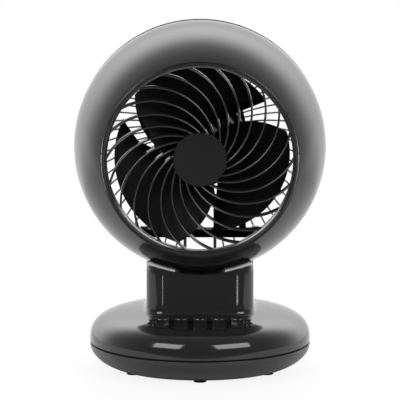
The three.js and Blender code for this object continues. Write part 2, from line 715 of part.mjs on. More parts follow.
function blade() {
  const face = (sign) => (u, v) => {
    const tip = TIP_R - TIP_DRAW_IN * u ** 1.5;
    const r = lerp(HUB_R - ROOT, tip, v);
    const angle = BLADE_ROOT_ANGLE - BLADE_SWEEP * (r - HUB_R) - BLADE_SPAN * u;
    const [x, z] = polar(r, angle);
    const half = (BLADE_THICK / 2) * (0.35 + 0.65 * Math.sin(Math.PI * Math.min(u + 0.02, 1)));
    const y = lerp(BLADE_FRONT, BLADE_BACK, u) + BLADE_CAMBER * Math.sin(Math.PI * u) + sign * half;
    return [x, y, z];
  };
  return sheet(9, 3, face(-1), face(1));
}

function impeller() {
  const bore = SHAFT_R + CLEAR;
  const inner = HUB_R - HUB_WALL;
  const hub = round(
    [
      [bore, HUB_FRONT],
      [HUB_R - HUB_EDGE, HUB_FRONT],
      [HUB_R - HUB_BEVEL, HUB_FRONT + HUB_BEVEL],
      [HUB_R, HUB_FRONT + HUB_EDGE],
      [HUB_R, HUB_BACK],
      [inner, HUB_BACK],
      [inner, HUB_FRONT + HUB_EDGE],
      [HUB_R - HUB_EDGE, HUB_FRONT + HUB_WALL],
      [HUB_BOSS_R, HUB_FRONT + HUB_WALL],
      [HUB_BOSS_R, HUB_BACK - HUB_BOSS_SHORT],
      [bore, HUB_BACK - HUB_BOSS_SHORT],
    ],
    MEDIUM,
  );
  const one = blade();
  const blades = Array.from({ length: BLADES }, (_, i) => one.rotate([0, (360 * i) / BLADES, 0]));
  const [floor, shoulder] = [HUB_FRONT + HUB_WALL, HUB_FRONT + HUB_EDGE];
  const hollow = round([[0, floor], [inner, shoulder], [inner, HUB_BACK], [0, HUB_BACK]], MEDIUM);
  return joined(hub, joined(blades).subtract(hollow));
}

// ---- turret ----

function turret() {
  const top = HEAD_HEIGHT - Math.sqrt(BALL_R ** 2 - TURRET_R ** 2) + SADDLE_RISE;
  const bore = SPIGOT_R + JOURNAL_GAP;
  const column = upright([
    [bore, TURRET_BOTTOM_Z],
    [FLANGE_R, TURRET_BOTTOM_Z],
    [FLANGE_R, TURRET_BOTTOM_Z + FLANGE_THICK],
    [TURRET_R, TURRET_BOTTOM_Z + FLANGE_THICK],
    [TURRET_R, top],
    [0, top],
    [0, TURRET_ROOF_Z],
    [TURRET_R - TURRET_WALL, TURRET_ROOF_Z],
    [TURRET_R - TURRET_WALL, FLOOR_Z + SPIGOT_HEIGHT + SPIGOT_ROOM],
    [bore, FLOOR_Z + SPIGOT_HEIGHT + SPIGOT_ROOM],
  ]);
  const half = SLOT_HALF - STUB_SIDE_CLEAR;
  const stubBottom = BALL_BOTTOM_Z - STUB_RISE;
  const stub = block(-half, half, -STUB_HALF_DEPTH, STUB_HALF_DEPTH, stubBottom, top + STUB_RISE);
  const hole = post(CLAMP_SCREW_R + CLEAR, 0, 0, TURRET_ROOF_Z - PAST, top + STUB_RISE + PAST, FINE);
  const saddle = column.subtract(ballCutter(BALL_R + CLEAR, HEAD_HEIGHT));
  return saddle.add(stub.subtract(ballCutter(INNER_R, HEAD_HEIGHT))).subtract(hole);
}

function tiltClamp() {
  const outer = INNER_R - SLIDE_GAP;
  const [across, along] = [CLAMP_HALF_WIDTH, CLAMP_HALF_DEPTH];
  return block(-across, across, -along, along, BALL_BOTTOM_Z, HEAD_HEIGHT - INNER_R + CLAMP_HALF_WIDTH)
    .intersect(ballCutter(outer, HEAD_HEIGHT))
    .subtract(ballCutter(outer - CLAMP_THICK, HEAD_HEIGHT))
    .subtract(post(CLAMP_SCREW_R + CLEAR, 0, 0, BALL_BOTTOM_Z, HEAD_HEIGHT, FINE));
}

// Where the washer's edge would meet the clamp's hollow top.
const clampInnerR = INNER_R - SLIDE_GAP - CLAMP_THICK;
const clampTop = HEAD_HEIGHT - Math.sqrt(clampInnerR ** 2 - CLAMP_HEAD_R ** 2);

// Flat ring on the base's axis.
function washer(innerR, outerR, z0, z1) {
  return post(outerR, 0, 0, z0, z1, SMALL).subtract(post(innerR, 0, 0, z0 - PAST, z1 + PAST, SMALL));
}

// ---- swing gears ----

// Half the angle of an involute tooth at radius r, in radians.
function toothHalfAngle(teeth, r) {
  const pitchR = (GEAR_MODULE * teeth) / 2;
  const baseR = pitchR * Math.cos(PRESSURE_ANGLE * DEG);
  const involute = (a) => Math.tan(a) - a;
  const atPitch = Math.PI / (2 * teeth) - BACKLASH / 2 / pitchR;
  return atPitch + involute(PRESSURE_ANGLE * DEG) - involute(Math.acos(Math.min(1, baseR / r)));
}

// Outline points of one tooth about its own angle, from its right root to its left root.
function toothOutline(teeth, angle) {
  const pitchR = (GEAR_MODULE * teeth) / 2;
  const flank = [-DEDENDUM, -FLANK_LOW, FLANK_HIGH, ADDENDUM].map((height) => pitchR + height * GEAR_MODULE);
  const right = flank.map((r) => [r, angle - toothHalfAngle(teeth, r)]);
  const left = flank.map((r) => [r, angle + toothHalfAngle(teeth, r)]).reverse();
  return [...right, ...left].map(([r, a]) => new THREE.Vector2(r * Math.cos(a), r * Math.sin(a)));
}

// A run of teeth side by side, half of them on each side of an angle.
function toothRow(teeth, count, middle) {
  const pitch = (2 * Math.PI) / teeth;
  const first = middle - ((count - 1) / 2) * pitch;
  return Array.from({ length: count }, (_, i) => toothOutline(teeth, first + i * pitch)).flat();
}

function sectorGear() {
  const shape = new THREE.Shape(toothRow(SECTOR_TEETH, SECTOR_TEETH_CUT, Math.PI / 2));
  const away = ((SECTOR_TEETH_CUT + 2) * Math.PI) / SECTOR_TEETH;
  shape.absarc(0, 0, FLANGE_R, Math.PI / 2 + away, Math.PI * 2.5 - away, false);
  shape.closePath();
  const bore = post(TURRET_R + CLEAR, 0, 0, GEAR_Z - PAST, GEAR_Z + GEAR_THICK + PAST, LARGE);
  return prism(shape, GEAR_Z, GEAR_Z + GEAR_THICK).subtract(bore);
}

function swingPinion() {
  const outline = new THREE.Shape(toothRow(PINION_TEETH, PINION_TEETH, -Math.PI / 2));
  const gear = prism(outline, GEAR_Z - PINION_OVERLAP, GEAR_Z + GEAR_THICK + PINION_OVERLAP);
  const shaft = post(PINION_SHAFT_R, 0, 0, GEAR_Z, SWING_MOTOR_Z + PINION_SHAFT_REACH, FINE);
  return gear.add(shaft).translate([0, PINION_Y, 0]);
}

function swingMotor() {
  const earTop = SWING_MOTOR_Z + SWING_EAR_THICK;
  const can = post(SWING_MOTOR_R, 0, PINION_Y, SWING_MOTOR_Z, earTop + SWING_MOTOR_HEIGHT, MEDIUM);
  const [front, back] = [PINION_Y - SWING_EAR_DEPTH / 2, PINION_Y + SWING_EAR_DEPTH / 2];
  const ears = block(-SWING_EAR_HALF, SWING_EAR_HALF, front, back, SWING_MOTOR_Z, earTop);
  const shaftTop = SWING_MOTOR_Z + PINION_SHAFT_REACH + PAST;
  const shaftHole = post(PINION_SHAFT_R + CLEAR, 0, PINION_Y, SWING_MOTOR_Z - PAST, shaftTop, FINE);
  const screwHoles = [-1, 1].map((side) => {
    const x = side * SWING_SCREW_X;
    return post(SCREW_R + CLEAR, x, PINION_Y, SWING_MOTOR_Z - PAST, earTop + PAST, LEAST);
  });
  return can.add(ears).subtract(joined(shaftHole, screwHoles));
}

// ---- base ----

// Superellipse from the rim to the axis: [radius, height] of the top or bottom shell.
function basePoint(t, inset, rise, [across, up]) {
  const r = (BASE_R - inset) * Math.cos(t * 90 * DEG) ** (2 / across);
  return [r, (rise - inset) * Math.sin(t * 90 * DEG) ** (2 / up)];
}

const topProfile = (inset, n) =>
  steps(n).slice(0, n).map((t) => {
    const [r, z] = basePoint(t ** 1.5, inset, BASE_TOP_RISE, BASE_TOP_POWER);
    return [r, BASE_SEAM_Z + BASE_SEAM_GAP / 2 + z];
  });

// Height of the key tops at a distance y from the axis.
const bankTop = (y) => BANK_REAR_Z + BANK_SLOPE * (y - KEY_REAR_Y);
const frontAt = (r, x) => -Math.sqrt(r ** 2 - x ** 2);

// Everything above a plane that slopes with the key tops, dropped by some depth.
function aboveBank(x0, x1, y0, y1, drop) {
  const [low, high] = [bankTop(y0) - drop, bankTop(y1) - drop];
  const ring = (x) => [[x, y0, low], [x, y1, high], [x, y1, high + BASE_R], [x, y0, low + BASE_R]];
  return loft([ring(x0), ring(x1)]);
}

function neckRing(z, grow) {
  const [a, b, r] = [NECK_HALF_WIDTH + grow, NECK_HALF_DEPTH + grow, NECK_CORNER_R + grow];
  const corners = [[a - r, b - r, 0], [r - a, b - r, 90], [r - a, r - b, 180], [a - r, r - b, 270]];
  return corners.flatMap(([cx, cy, from]) => arc(r, from, from + 90, 5, [cx, cy]).map(([x, y]) => [x, y, z]));
}

function neckOuter() {
  const foot = BASE_SEAM_Z + BASE_TOP_RISE - NECK_SINK;
  const rings = [0, 25, 50, 90].map((angle) => {
    const [along, up] = polar(NECK_FILLET, angle);
    return neckRing(foot + NECK_FILLET - along, NECK_FILLET - up);
  });
  const top = HEAD_HEIGHT - Math.sqrt(BALL_R ** 2 - NECK_HALF_WIDTH ** 2);
  return loft([neckRing(BASE_SEAM_Z + BASE_TOP_RISE / 2, NECK_FILLET), ...rings, neckRing(top, 0)]);
}

function keyBank() {
  const shape = new THREE.Shape();
  const rear = KEY_REAR_Y + BANK_LAP;
  shape.moveTo(-BANK_HALF, rear);
  shape.lineTo(-BANK_HALF, frontAt(BANK_FRONT_R, BANK_HALF));
  const side = Math.acos(BANK_HALF / BANK_FRONT_R);
  shape.absarc(0, 0, BANK_FRONT_R, Math.PI + side, 2 * Math.PI - side, false);
  shape.lineTo(BANK_HALF, rear);
  const bank = prism(shape, BASE_SEAM_Z + BASE_TOP_RISE / 2, bankTop(rear) + PAST, 18);
  return bank.subtract(aboveBank(-BANK_HALF - PAST, BANK_HALF + PAST, -BANK_FRONT_R - PAST, rear + PAST, 0));
}

const keyX = (i) => (i - (KEYS.length - 1) / 2) * KEY_PITCH;
const keyFront = (x) => frontAt(BANK_FRONT_R - 1, Math.abs(x) + KEY_WIDTH / 2);

function keyWindows() {
  const grow = KEY_SIDE_CLEAR;
  const half = KEY_WIDTH / 2 + grow;
  return KEYS.map((_, i) => {
    const x = keyX(i);
    return block(x - half, x + half, keyFront(x) - grow, KEY_REAR_Y + grow, SWITCH_TOP, BANK_REAR_Z + PAST);
  });
}

const caseCorners = () => CASE_SCREW_ANGLES.map((angle) => polar(CASE_SCREW_CIRCLE_R, angle));

function baseCover() {
  const [edge, top] = [BASE_SEAM_Z + BASE_SEAM_GAP / 2, BASE_SEAM_Z + BASE_TOP_RISE];
  const outer = upright([...topProfile(0, 6), [0, top], [0, edge]]);
  const roof = top - BASE_WALL;
  const inner = upright([...topProfile(BASE_WALL, 4), [0, roof], [0, 0], [BASE_R - BASE_WALL, 0]]);
  const skin = joined(outer, neckOuter(), keyBank());
  const neckCavity = loft([neckRing(BASE_SEAM_Z, -NECK_WALL), neckRing(HEAD_HEIGHT, -NECK_WALL)]);
  const [bankX, bankY] = [BANK_HALF - BANK_SIDE_WALL, -BANK_FRONT_R + BANK_FRONT_WALL];
  const bankRoof = bankTop(bankY) - BANK_DEPTH - BASE_WALL;
  const underBank = block(-bankX, bankX, bankY, KEY_REAR_Y + BANK_LAP / 2, BASE_SEAM_Z, bankRoof);
  const underDish = ballCutter(BALL_R + DISH_GAP + DISH_WALL, HEAD_HEIGHT);
  const cavity = joined(inner, underBank, neckCavity.subtract(underDish));
  const cheek = BANK_HALF - BANK_CHEEK;
  const pocket = aboveBank(-cheek, cheek, -BANK_FRONT_R - PAST, KEY_REAR_Y + PAST, BANK_DEPTH);
  const throat = post(TURRET_R + JOURNAL_GAP, 0, 0, BASE_SEAM_Z, HEAD_HEIGHT, LARGE);
  const holes = [throat, ...keyWindows(), pocket];
  const dish = ballCutter(BALL_R + DISH_GAP, HEAD_HEIGHT);
  const shell = skin.subtract(joined(cavity, holes, dish));
  const bosses = caseCorners().map(([x, y]) => post(CASE_BOSS_R, x, y, FLOOR_Z + CLEAR, top, FINE));
  const inside = joined(bosses, switchBosses()).intersect(joined(inner, outer, keyBank()));
  const pilotTop = FLOOR_Z + CASE_SCREW_LENGTH;
  const pilots = caseCorners().map(([x, y]) => post(SCREW_R + CLEAR, x, y, 0, pilotTop, LEAST));
  return shell.add(inside.subtract(joined(pilots)));
}

const switchY = () => KEY_REAR_Y - SWITCH_DEPTH / 2 - SWITCH_BEFORE;

function switchBosses() {
  const y = switchY();
  return [-1, 1].map((side) => {
    const x = side * (SWITCH_HALF + SWITCH_EAR / 2);
    const [across, along] = SWITCH_POST.map((size) => size / 2);
    return block(x - across, x + across, y - along, y + along, SWITCH_TOP + CLEAR, bankTop(y) - KEY_DISH);
  });
}

function switchBody() {
  const [y0, y1] = [switchY() - SWITCH_DEPTH / 2, switchY() + SWITCH_DEPTH / 2];
  const body = block(-SWITCH_HALF, SWITCH_HALF, y0, y1, SWITCH_TOP - SWITCH_HEIGHT, SWITCH_TOP);
  const reach = SWITCH_HALF + SWITCH_EAR;
  const inset = SWITCH_DEPTH / 5;
  return body.add(block(-reach, reach, y0 + inset, y1 - inset, SWITCH_TOP - SWITCH_EAR_THICK, SWITCH_TOP));
}

function key(i) {
  const x = keyX(i);
  const half = KEY_WIDTH / 2;
  const crown = steps(6).map((t) => [lerp(half, -half, t), -KEY_DISH * (1 - (2 * t - 1) ** 2)]);
  const ring = (y) => [
    [x - half, y, KEY_BOTTOM_Z],
    [x + half, y, KEY_BOTTOM_Z],
    ...crown.map(([dx, dz]) => [x + dx, y, bankTop(y) + KEY_CROWN + dz]),
  ];
  return loft([KEY_REAR_Y, lerp(KEY_REAR_Y, keyFront(x), 0.5), keyFront(x)].map(ring));
}

const footAngle = (i) => (360 * i) / FEET - 90;

function baseBottom() {
  const flat = (BASE_SEAM_Z - FOOT_PROUD) / BASE_FALL;
  const cut = Math.asin(flat ** (BASE_FALL_POWER[1] / 2)) / (90 * DEG);
  const side = (inset, n) =>
    steps(n).map((t) => {
      const [r, z] = basePoint(cut * t, inset, BASE_FALL, BASE_FALL_POWER);
      return [r, Math.max(BASE_SEAM_Z - BASE_SEAM_GAP / 2 - z, FOOT_PROUD + inset)];
    });
  const lipR = BASE_R - BASE_WALL - LIP_GAP;
  const profile = [
    ...side(0, 5),
    [0, FOOT_PROUD],
    [0, FLOOR_Z],
    [SPIGOT_R - SPIGOT_WALL, FLOOR_Z],
    [SPIGOT_R - SPIGOT_WALL, FLOOR_Z + SPIGOT_HEIGHT],
    [SPIGOT_R, FLOOR_Z + SPIGOT_HEIGHT],
    [SPIGOT_R, FLOOR_Z],
    ...side(BASE_WALL, 3).reverse().slice(0, 3),
    [lipR - LIP_WALL, BASE_SEAM_Z - LIP_DOWN],
    [lipR - LIP_WALL, BASE_SEAM_Z + LIP_UP],
    [lipR, BASE_SEAM_Z + LIP_UP],
    [lipR, BASE_SEAM_Z - BASE_SEAM_GAP / 2],
  ];
  const posts = [-1, 1].map((side) => {
    const x = side * SWING_SCREW_X;
    const pilot = post(SCREW_R + CLEAR, x, PINION_Y, FLOOR_Z + BASE_WALL, SWING_MOTOR_Z, LEAST);
    const top = SWING_MOTOR_Z - CLEAR;
    return post(SWING_POST_R, x, PINION_Y, FLOOR_Z - BASE_WALL / 2, top, FINE).subtract(pilot);
  });
  const pegs = Array.from({ length: FEET }, (_, i) => {
    const [x, y] = polar(FOOT_CIRCLE_R, footAngle(i));
    return post(FOOT_PEG_R + CLEAR, x, y, 0, FLOOR_Z + PAST, LEAST);
  });
  const screws = caseCorners().flatMap(([x, y]) => [
    post(SCREW_R + CLEAR, x, y, 0, FLOOR_Z + PAST, LEAST),
    post(SCREW_HEAD_R + CLEAR, x, y, 0, FOOT_PROUD + CASE_HEAD_THICK, FINE),
  ]);
  const bushHole = tube(0, BUSH_R + CLEAR, BUSH_OUTER_Y - BUSH_LENGTH, BASE_R + PAST);
  const holes = joined(pegs, screws, bushHole.translate([0, 0, BUSH_Z]));
  return joined(upright(profile), posts).subtract(holes);
}

function foot(i) {
  const [x, y] = polar(FOOT_CIRCLE_R, footAngle(i));
  const pad = post(FOOT_R, x, y, 0, FOOT_PROUD - CLEAR, FINE);
  return pad.add(post(FOOT_PEG_R, x, y, FOOT_PROUD / 2, FLOOR_Z, LEAST));
}

function ballast() {
  const [from, to] = BALLAST_ANGLES.map((angle) => angle * DEG);
  const shape = new THREE.Shape();
  shape.absarc(0, 0, BALLAST_OUTER_R, from, to, false);
  shape.absarc(0, 0, BALLAST_INNER_R, to, from, true);
  return prism(shape, FLOOR_Z + CLEAR, FLOOR_Z + CLEAR + BALLAST_THICK);
}

function cordBush() {
  const inner = BUSH_OUTER_Y - BUSH_LENGTH;
  const sleeve = tube(BUSH_BORE_R, BUSH_R, inner, BUSH_OUTER_Y);
  const flange = tube(BUSH_BORE_R, BUSH_FLANGE_R, inner, inner + BUSH_FLANGE);
  return sleeve.add(flange).translate([0, 0, BUSH_Z]);
}

// Case screw: its head is sunk in the bottom, its shank reaches up into the cover's boss.
function caseScrew(x, y) {
  const seat = FOOT_PROUD + CASE_HEAD_THICK - CLEAR;
  const head = post(SCREW_HEAD_R, x, y, seat - CASE_HEAD_THICK, seat, FINE);
  return head.add(post(SCREW_R, x, y, seat - CASE_HEAD_THICK / 2, seat + CASE_SCREW_LENGTH, LEAST));
}

// ---- the fan ----

place(headGroup, "front_shell", frontShell(), GLOSS_BLACK);
place(headGroup, "front_grille", frontGrille(), SATIN_BLACK);
place(headGroup, "hub_cap", hubCap(), SATIN_BLACK);
place(headGroup, "rear_grille", rearGrille(), SATIN_BLACK);
place(headGroup, "motor_front_case", motorFrontCase(), DARK_STEEL);
place(headGroup, "motor_rear_case", motorRearCase(), DARK_STEEL);
place(headGroup, "motor_bracket", motorBracket(), MATT_BLACK);
const stator = tube(STATOR_BORE_R, MOTOR_R - MOTOR_WALL - CLEAR, STATOR_FRONT, STATOR_BACK);
place(headGroup, "stator", stator, STEEL);
const frontBearing = MOTOR_FRONT - BEARING_BOSS + MOTOR_WALL + CLEAR;
const rearBearing = MOTOR_BACK - MOTOR_WALL - CLEAR - BEARING_LENGTH;
const bearing = (front) => tube(SHAFT_R + CLEAR, BEARING_R, front, front + BEARING_LENGTH);
place(headGroup, "motor_bearing_front", bearing(frontBearing), BRONZE);
place(headGroup, "motor_bearing_rear", bearing(rearBearing), BRONZE);
const bracketTop = -BRACKET_BAR_BELOW + BRACKET_BAR_THICK + CLEAR;
const bracketScrew = (x) => screw(x, BRACKET_Y, bracketTop, BRACKET_SCREW_LENGTH);
place(headGroup, "bracket_screw_left", bracketScrew(-BRACKET_SCREW_X), STEEL);
place(headGroup, "bracket_screw_right", bracketScrew(BRACKET_SCREW_X), STEEL);

place(impellerGroup, "impeller", impeller(), MATT_BLACK);
place(impellerGroup, "motor_shaft", tube(0, SHAFT_R, SHAFT_FRONT, rearBearing + BEARING_LENGTH), STEEL);
const [rotorFront, rotorBack] = [STATOR_FRONT + ROTOR_SHORTER, STATOR_BACK - ROTOR_SHORTER];
place(impellerGroup, "rotor", tube(SHAFT_R + CLEAR, ROTOR_R, rotorFront, rotorBack), STEEL);
const nutBack = HUB_FRONT - CLEAR;
const nutFront = nutBack - NUT_THICK;
const nutBore = tube(0, SHAFT_R + CLEAR, nutFront - PAST, nutBack + PAST);
place(impellerGroup, "impeller_nut", tube(0, NUT_R, nutFront, nutBack, 6).subtract(nutBore), MATT_BLACK);

place(turretGroup, "turret", turret(), MATT_BLACK);
place(turretGroup, "sector_gear", sectorGear(), WHITE_PLASTIC);
place(turretGroup, "tilt_clamp", tiltClamp(), GREY_PLASTIC);
const washerZ = clampTop + CLEAR;
const clampWasher = washer(CLAMP_SCREW_R + CLEAR, CLAMP_HEAD_R, washerZ, washerZ + CLAMP_WASHER_THICK);
place(turretGroup, "clamp_washer", clampWasher, STEEL);
const clampHeadZ = washerZ + CLAMP_WASHER_THICK + CLEAR;
const clampLength = clampHeadZ - TURRET_ROOF_Z + CLAMP_NUT_THICK + CLAMP_SCREW_PROUD;
const clampScrew = screw(0, 0, clampHeadZ, clampLength, CLAMP_HEAD_R, CLAMP_SCREW_R, CLAMP_HEAD_THICK);
place(turretGroup, "clamp_screw", clampScrew, STEEL);
const nutTop = TURRET_ROOF_Z - CLEAR;
const clampNut = post(CLAMP_NUT_R, 0, 0, nutTop - CLAMP_NUT_THICK, nutTop, 6);
const clampNutHole = post(CLAMP_SCREW_R + CLEAR, 0, 0, nutTop - CLAMP_NUT_THICK - PAST, nutTop + PAST, FINE);
place(turretGroup, "clamp_nut", clampNut.subtract(clampNutHole), STEEL);

place(fan, "base_cover", baseCover(), GLOSS_BLACK);
place(fan, "base_bottom", baseBottom(), SATIN_BLACK);
const thrustZ = FLOOR_Z + CLEAR;
const thrustR = FLANGE_R - TURRET_WALL / 2;
const thrustWasher = washer(SPIGOT_R + JOURNAL_GAP, thrustR, thrustZ, thrustZ + THRUST_THICK);
place(fan, "thrust_washer", thrustWasher, WHITE_PLASTIC);
place(fan, "ballast", ballast(), DARK_STEEL);
place(fan, "swing_motor", swingMotor(), STEEL);
place(fan, "swing_pinion", swingPinion(), WHITE_PLASTIC);
const earTop = SWING_MOTOR_Z + SWING_EAR_THICK + CLEAR;
const swingScrew = (x) => screw(x, PINION_Y, earTop, SWING_SCREW_LENGTH);
place(fan, "swing_screw_left", swingScrew(-SWING_SCREW_X), STEEL);
place(fan, "swing_screw_right", swingScrew(SWING_SCREW_X), STEEL);
place(fan, "switch_body", switchBody(), MATT_BLACK);
const [capW, capD, capH] = CAPACITOR;
const capX = CAPACITOR_INSET - BASE_R - capW / 2;
const capZ = FLOOR_Z + CLEAR;
place(fan, "capacitor", block(capX, capX + capW, -capD / 2, capD / 2, capZ, capZ + capH), GREY_PLASTIC);
place(fan, "cord_bush", cordBush(), RUBBER);
KEYS.forEach((name, i) => place(fan, "key_" + name, key(i), GLOSS_BLACK));
for (let i = 0; i < FEET; i++) place(fan, "foot_" + (i + 1), foot(i), RUBBER);
caseCorners().forEach(([x, y], i) => place(fan, "case_screw_" + (i + 1), caseScrew(x, y), STEEL));

export default fan;
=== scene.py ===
"""Finished surfaces of a desk air circulator, built round its packed frame. Metres, +Z up, front -Y."""

import json
import math

import bmesh
import bpy
from bpy.props import FloatProperty, FloatVectorProperty, IntProperty, PointerProperty
from bpy.types import Operator, Panel, PropertyGroup
from mathutils import Matrix, Vector


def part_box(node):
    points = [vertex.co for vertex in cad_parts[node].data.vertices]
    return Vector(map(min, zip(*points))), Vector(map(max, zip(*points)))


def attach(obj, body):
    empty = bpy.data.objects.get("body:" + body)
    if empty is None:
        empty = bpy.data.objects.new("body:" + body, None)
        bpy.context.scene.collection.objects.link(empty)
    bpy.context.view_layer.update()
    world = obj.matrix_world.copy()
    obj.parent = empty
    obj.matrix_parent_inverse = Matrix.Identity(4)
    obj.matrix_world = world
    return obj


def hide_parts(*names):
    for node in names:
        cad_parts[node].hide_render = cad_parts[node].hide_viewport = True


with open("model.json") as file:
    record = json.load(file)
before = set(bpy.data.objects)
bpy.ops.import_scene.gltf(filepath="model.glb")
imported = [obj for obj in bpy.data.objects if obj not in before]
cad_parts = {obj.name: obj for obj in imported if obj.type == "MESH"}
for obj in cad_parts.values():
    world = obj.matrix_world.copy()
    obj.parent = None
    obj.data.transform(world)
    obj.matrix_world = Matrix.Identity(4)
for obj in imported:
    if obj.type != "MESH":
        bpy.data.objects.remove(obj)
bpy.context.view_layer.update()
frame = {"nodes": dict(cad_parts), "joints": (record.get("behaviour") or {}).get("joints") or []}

bl_info = {
    "name": "Desk Air Circulator",
    "version": (1, 0, 0),
    "blender": (4, 5, 0),
    "location": "View3D > Sidebar > Fan",
    "description": "Builds the finished surfaces of a desk air circulator round its frame",
    "category": "Object",
}

# ---- measures taken from the frame ----

SHELL_LOW, SHELL_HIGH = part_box("front_shell")
GRILLE_LOW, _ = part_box("front_grille")
_, REAR_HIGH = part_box("rear_grille")
CAP_LOW, CAP_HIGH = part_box("hub_cap")
CASE_LOW, CASE_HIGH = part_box("motor_rear_case")
FRONT_CASE_LOW, FRONT_CASE_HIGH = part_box("motor_front_case")
KEY_LOW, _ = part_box("key_medium")
FOOT_LOW, FOOT_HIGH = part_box("foot_1")

HEAD_CENTRE = Vector((0, 0, next(j["pos_m"][2] for j in frame["joints"] if j["name"] == "tilt")))
BALL_RADIUS = (SHELL_HIGH.x - SHELL_LOW.x) / 2
RING_FACE = GRILLE_LOW.y  # front face of the grille's ring
KEY_NODES = ["key_off", "key_low", "key_medium", "key_high", "key_swing"]
FOOT_NODES = [f"foot_{i}" for i in range(1, 7)]
CASE_SCREW_NODES = [f"case_screw_{i}" for i in range(1, 5)]

FULL_TURN = 2 * math.pi
AXIS_TOUCH = 1e-6  # a profile point nearer the axis than this lies on it
CLEARANCE = 0.0003  # gap between pieces that fit into each other
KEY_GAP = 0.00035  # gap round a key
ROOT = 0.0015  # how deep vanes and blades run into the hub that carries them
LEAST_CORNER = math.radians(20)  # an outline that turns less than this stays as it is
LEAST_EDGE = math.radians(35)  # faces that meet at less than this are shaded as one


# ---- settings that a user would change ----


def length(name, description, default):
    return FloatProperty(name=name, description=description, default=default, unit="LENGTH", precision=4)


def angle(name, description, default):
    return FloatProperty(name=name, description=description, default=math.radians(default), subtype="ANGLE")


def count(name, description, default):
    return IntProperty(name=name, description=description, default=default, min=1)


def power(name, description, default):
    return FloatProperty(name=name, description=description, default=default, subtype="POWER", unit="POWER")


def colour(name, description, default):
    return FloatVectorProperty(name=name, description=description, default=default, size=3, min=0, max=1,
                               subtype="COLOR")


class FanHeadSettings(PropertyGroup):
    """Ball-shaped head: its two shells and the rear grille."""

    ball_radius: length("Ball radius", "Outer radius of both shells", 0.126)
    wall: length("Wall", "Thickness of the shells", 0.0025)
    seam_y: length("Seam", "Parting plane, behind the ball's centre", 0.025)
    seam_gap: length("Seam gap", "Shadow gap between the two shells", 0.0008)
    rim_proud: length("Rim proud", "How far the rear shell's rim stands out over the front shell", 0.001)
    opening_radius: length("Opening", "Radius of the front opening", 0.0985)
    socket_depth: length("Socket depth", "How far the opening's edge is turned in", 0.012)
    rear_blend: length("Rear blend", "Radius that rounds the ball into its flat back", 0.04)
    disc_radius: length("Rear disc", "Radius of the plain disc behind the motor", 0.046)
    disc_groove: length("Disc groove", "Depth of the groove round the rear disc", 0.0008)
    rim_back: length("Rim back", "Plane where the plain rim ends and the ribs start", 0.04)
    ribs: count("Ribs", "Ribs of the rear grille", 60)
    rib_width: length("Rib width", "Width of one rib", 0.0018)
    rib_depth: length("Rib depth", "Depth of one rib", 0.002)
    rib_inset: length("Rib inset", "How far the ribs lie under the ball's surface", 0.00045)
    slot_half: length("Slot half width", "Half the width of the tilt slot", 0.0135)
    slot_rail: length("Slot rail", "Width of the rails beside the tilt slot", 0.003)
    slot_from: angle("Slot start", "Front end of the tilt slot, behind the lowest point", -16.58)
    slot_to: angle("Slot end", "Rear end of the tilt slot, behind the lowest point", 51.58)


class FanGrilleSettings(PropertyGroup):
    """Front grille: ring, spiral vanes and hub."""

    ring_inner: length("Ring inside", "Inner radius of the ring", 0.0925)
    ring_step: length("Ring step", "Radius of the step in the ring's face", 0.0952)
    step_depth: length("Step depth", "Depth of that step", 0.0018)
    ring_depth: length("Ring depth", "Length of the ring along the axis", 0.015)
    edge_radius: length("Edge radius", "Rounding of the ring's edges", 0.0006)
    vanes: count("Vanes", "Spiral vanes", 22)
    vane_arc: length("Vane arc", "Radius of the arc that each vane follows", 0.0625)
    vane_from: angle("Vane start", "Angle of the first vane at the hub", -10.5)
    vane_to: angle("Vane end", "Angle of the first vane at the ring", 65.5)
    vane_front: length("Vane front", "Width of a vane's front edge", 0.0018)
    vane_back: length("Vane back", "Width of a vane at its back", 0.0023)
    vane_depth: length("Vane depth", "Depth of a vane along the axis", 0.0085)
    vane_set_back: length("Vane set back", "Front edges behind the ring's face", 0.0028)
    hub_radius: length("Hub radius", "Outer radius of the ring that carries the vanes", 0.0265)
    hub_wall: length("Hub wall", "Wall of that ring", 0.0045)
    hub_depth: length("Hub depth", "Length of that ring", 0.011)
    cap_rim: length("Cap rim", "Width of the raised rim of the hub cap", 0.0014)
    cap_rise: length("Cap rise", "Height of that rim", 0.0008)


class FanImpellerSettings(PropertyGroup):
    """Impeller: hub and sickle blades."""

    blades: count("Blades", "Blades of the impeller", 3)
    tip_radius: length("Tip radius", "Largest radius of a blade", 0.09)
    tip_draw_in: length("Tip draw-in", "How much nearer the axis the leading end of a tip is", 0.007)
    span: angle("Blade span", "Angle that one blade covers", 104)
    root_angle: angle("Root angle", "Trailing edge at the hub, in front view", 58.7)
    sweep: FloatProperty(name="Sweep", default=0.68,
                         description="Degrees that the edges lean back per millimetre")
    front: length("Blade front", "Front edge along the axis", -0.0585)
    back: length("Blade back", "Rear edge along the axis", -0.025)
    camber: length("Camber", "Rise of a blade between its edges", 0.0035)
    thickness: length("Thickness", "Thickness of a blade in its middle", 0.0022)
    hub_radius: length("Hub radius", "Outer radius of the hub", 0.0275)
    hub_front: length("Hub front", "Front face of the hub", -0.06)
    hub_back: length("Hub back", "Open rear end of the hub", -0.023)
    hub_wall: length("Hub wall", "Wall of the hub", 0.0026)
    bore_radius: length("Bore", "Radius of the shaft bore", 0.0043)


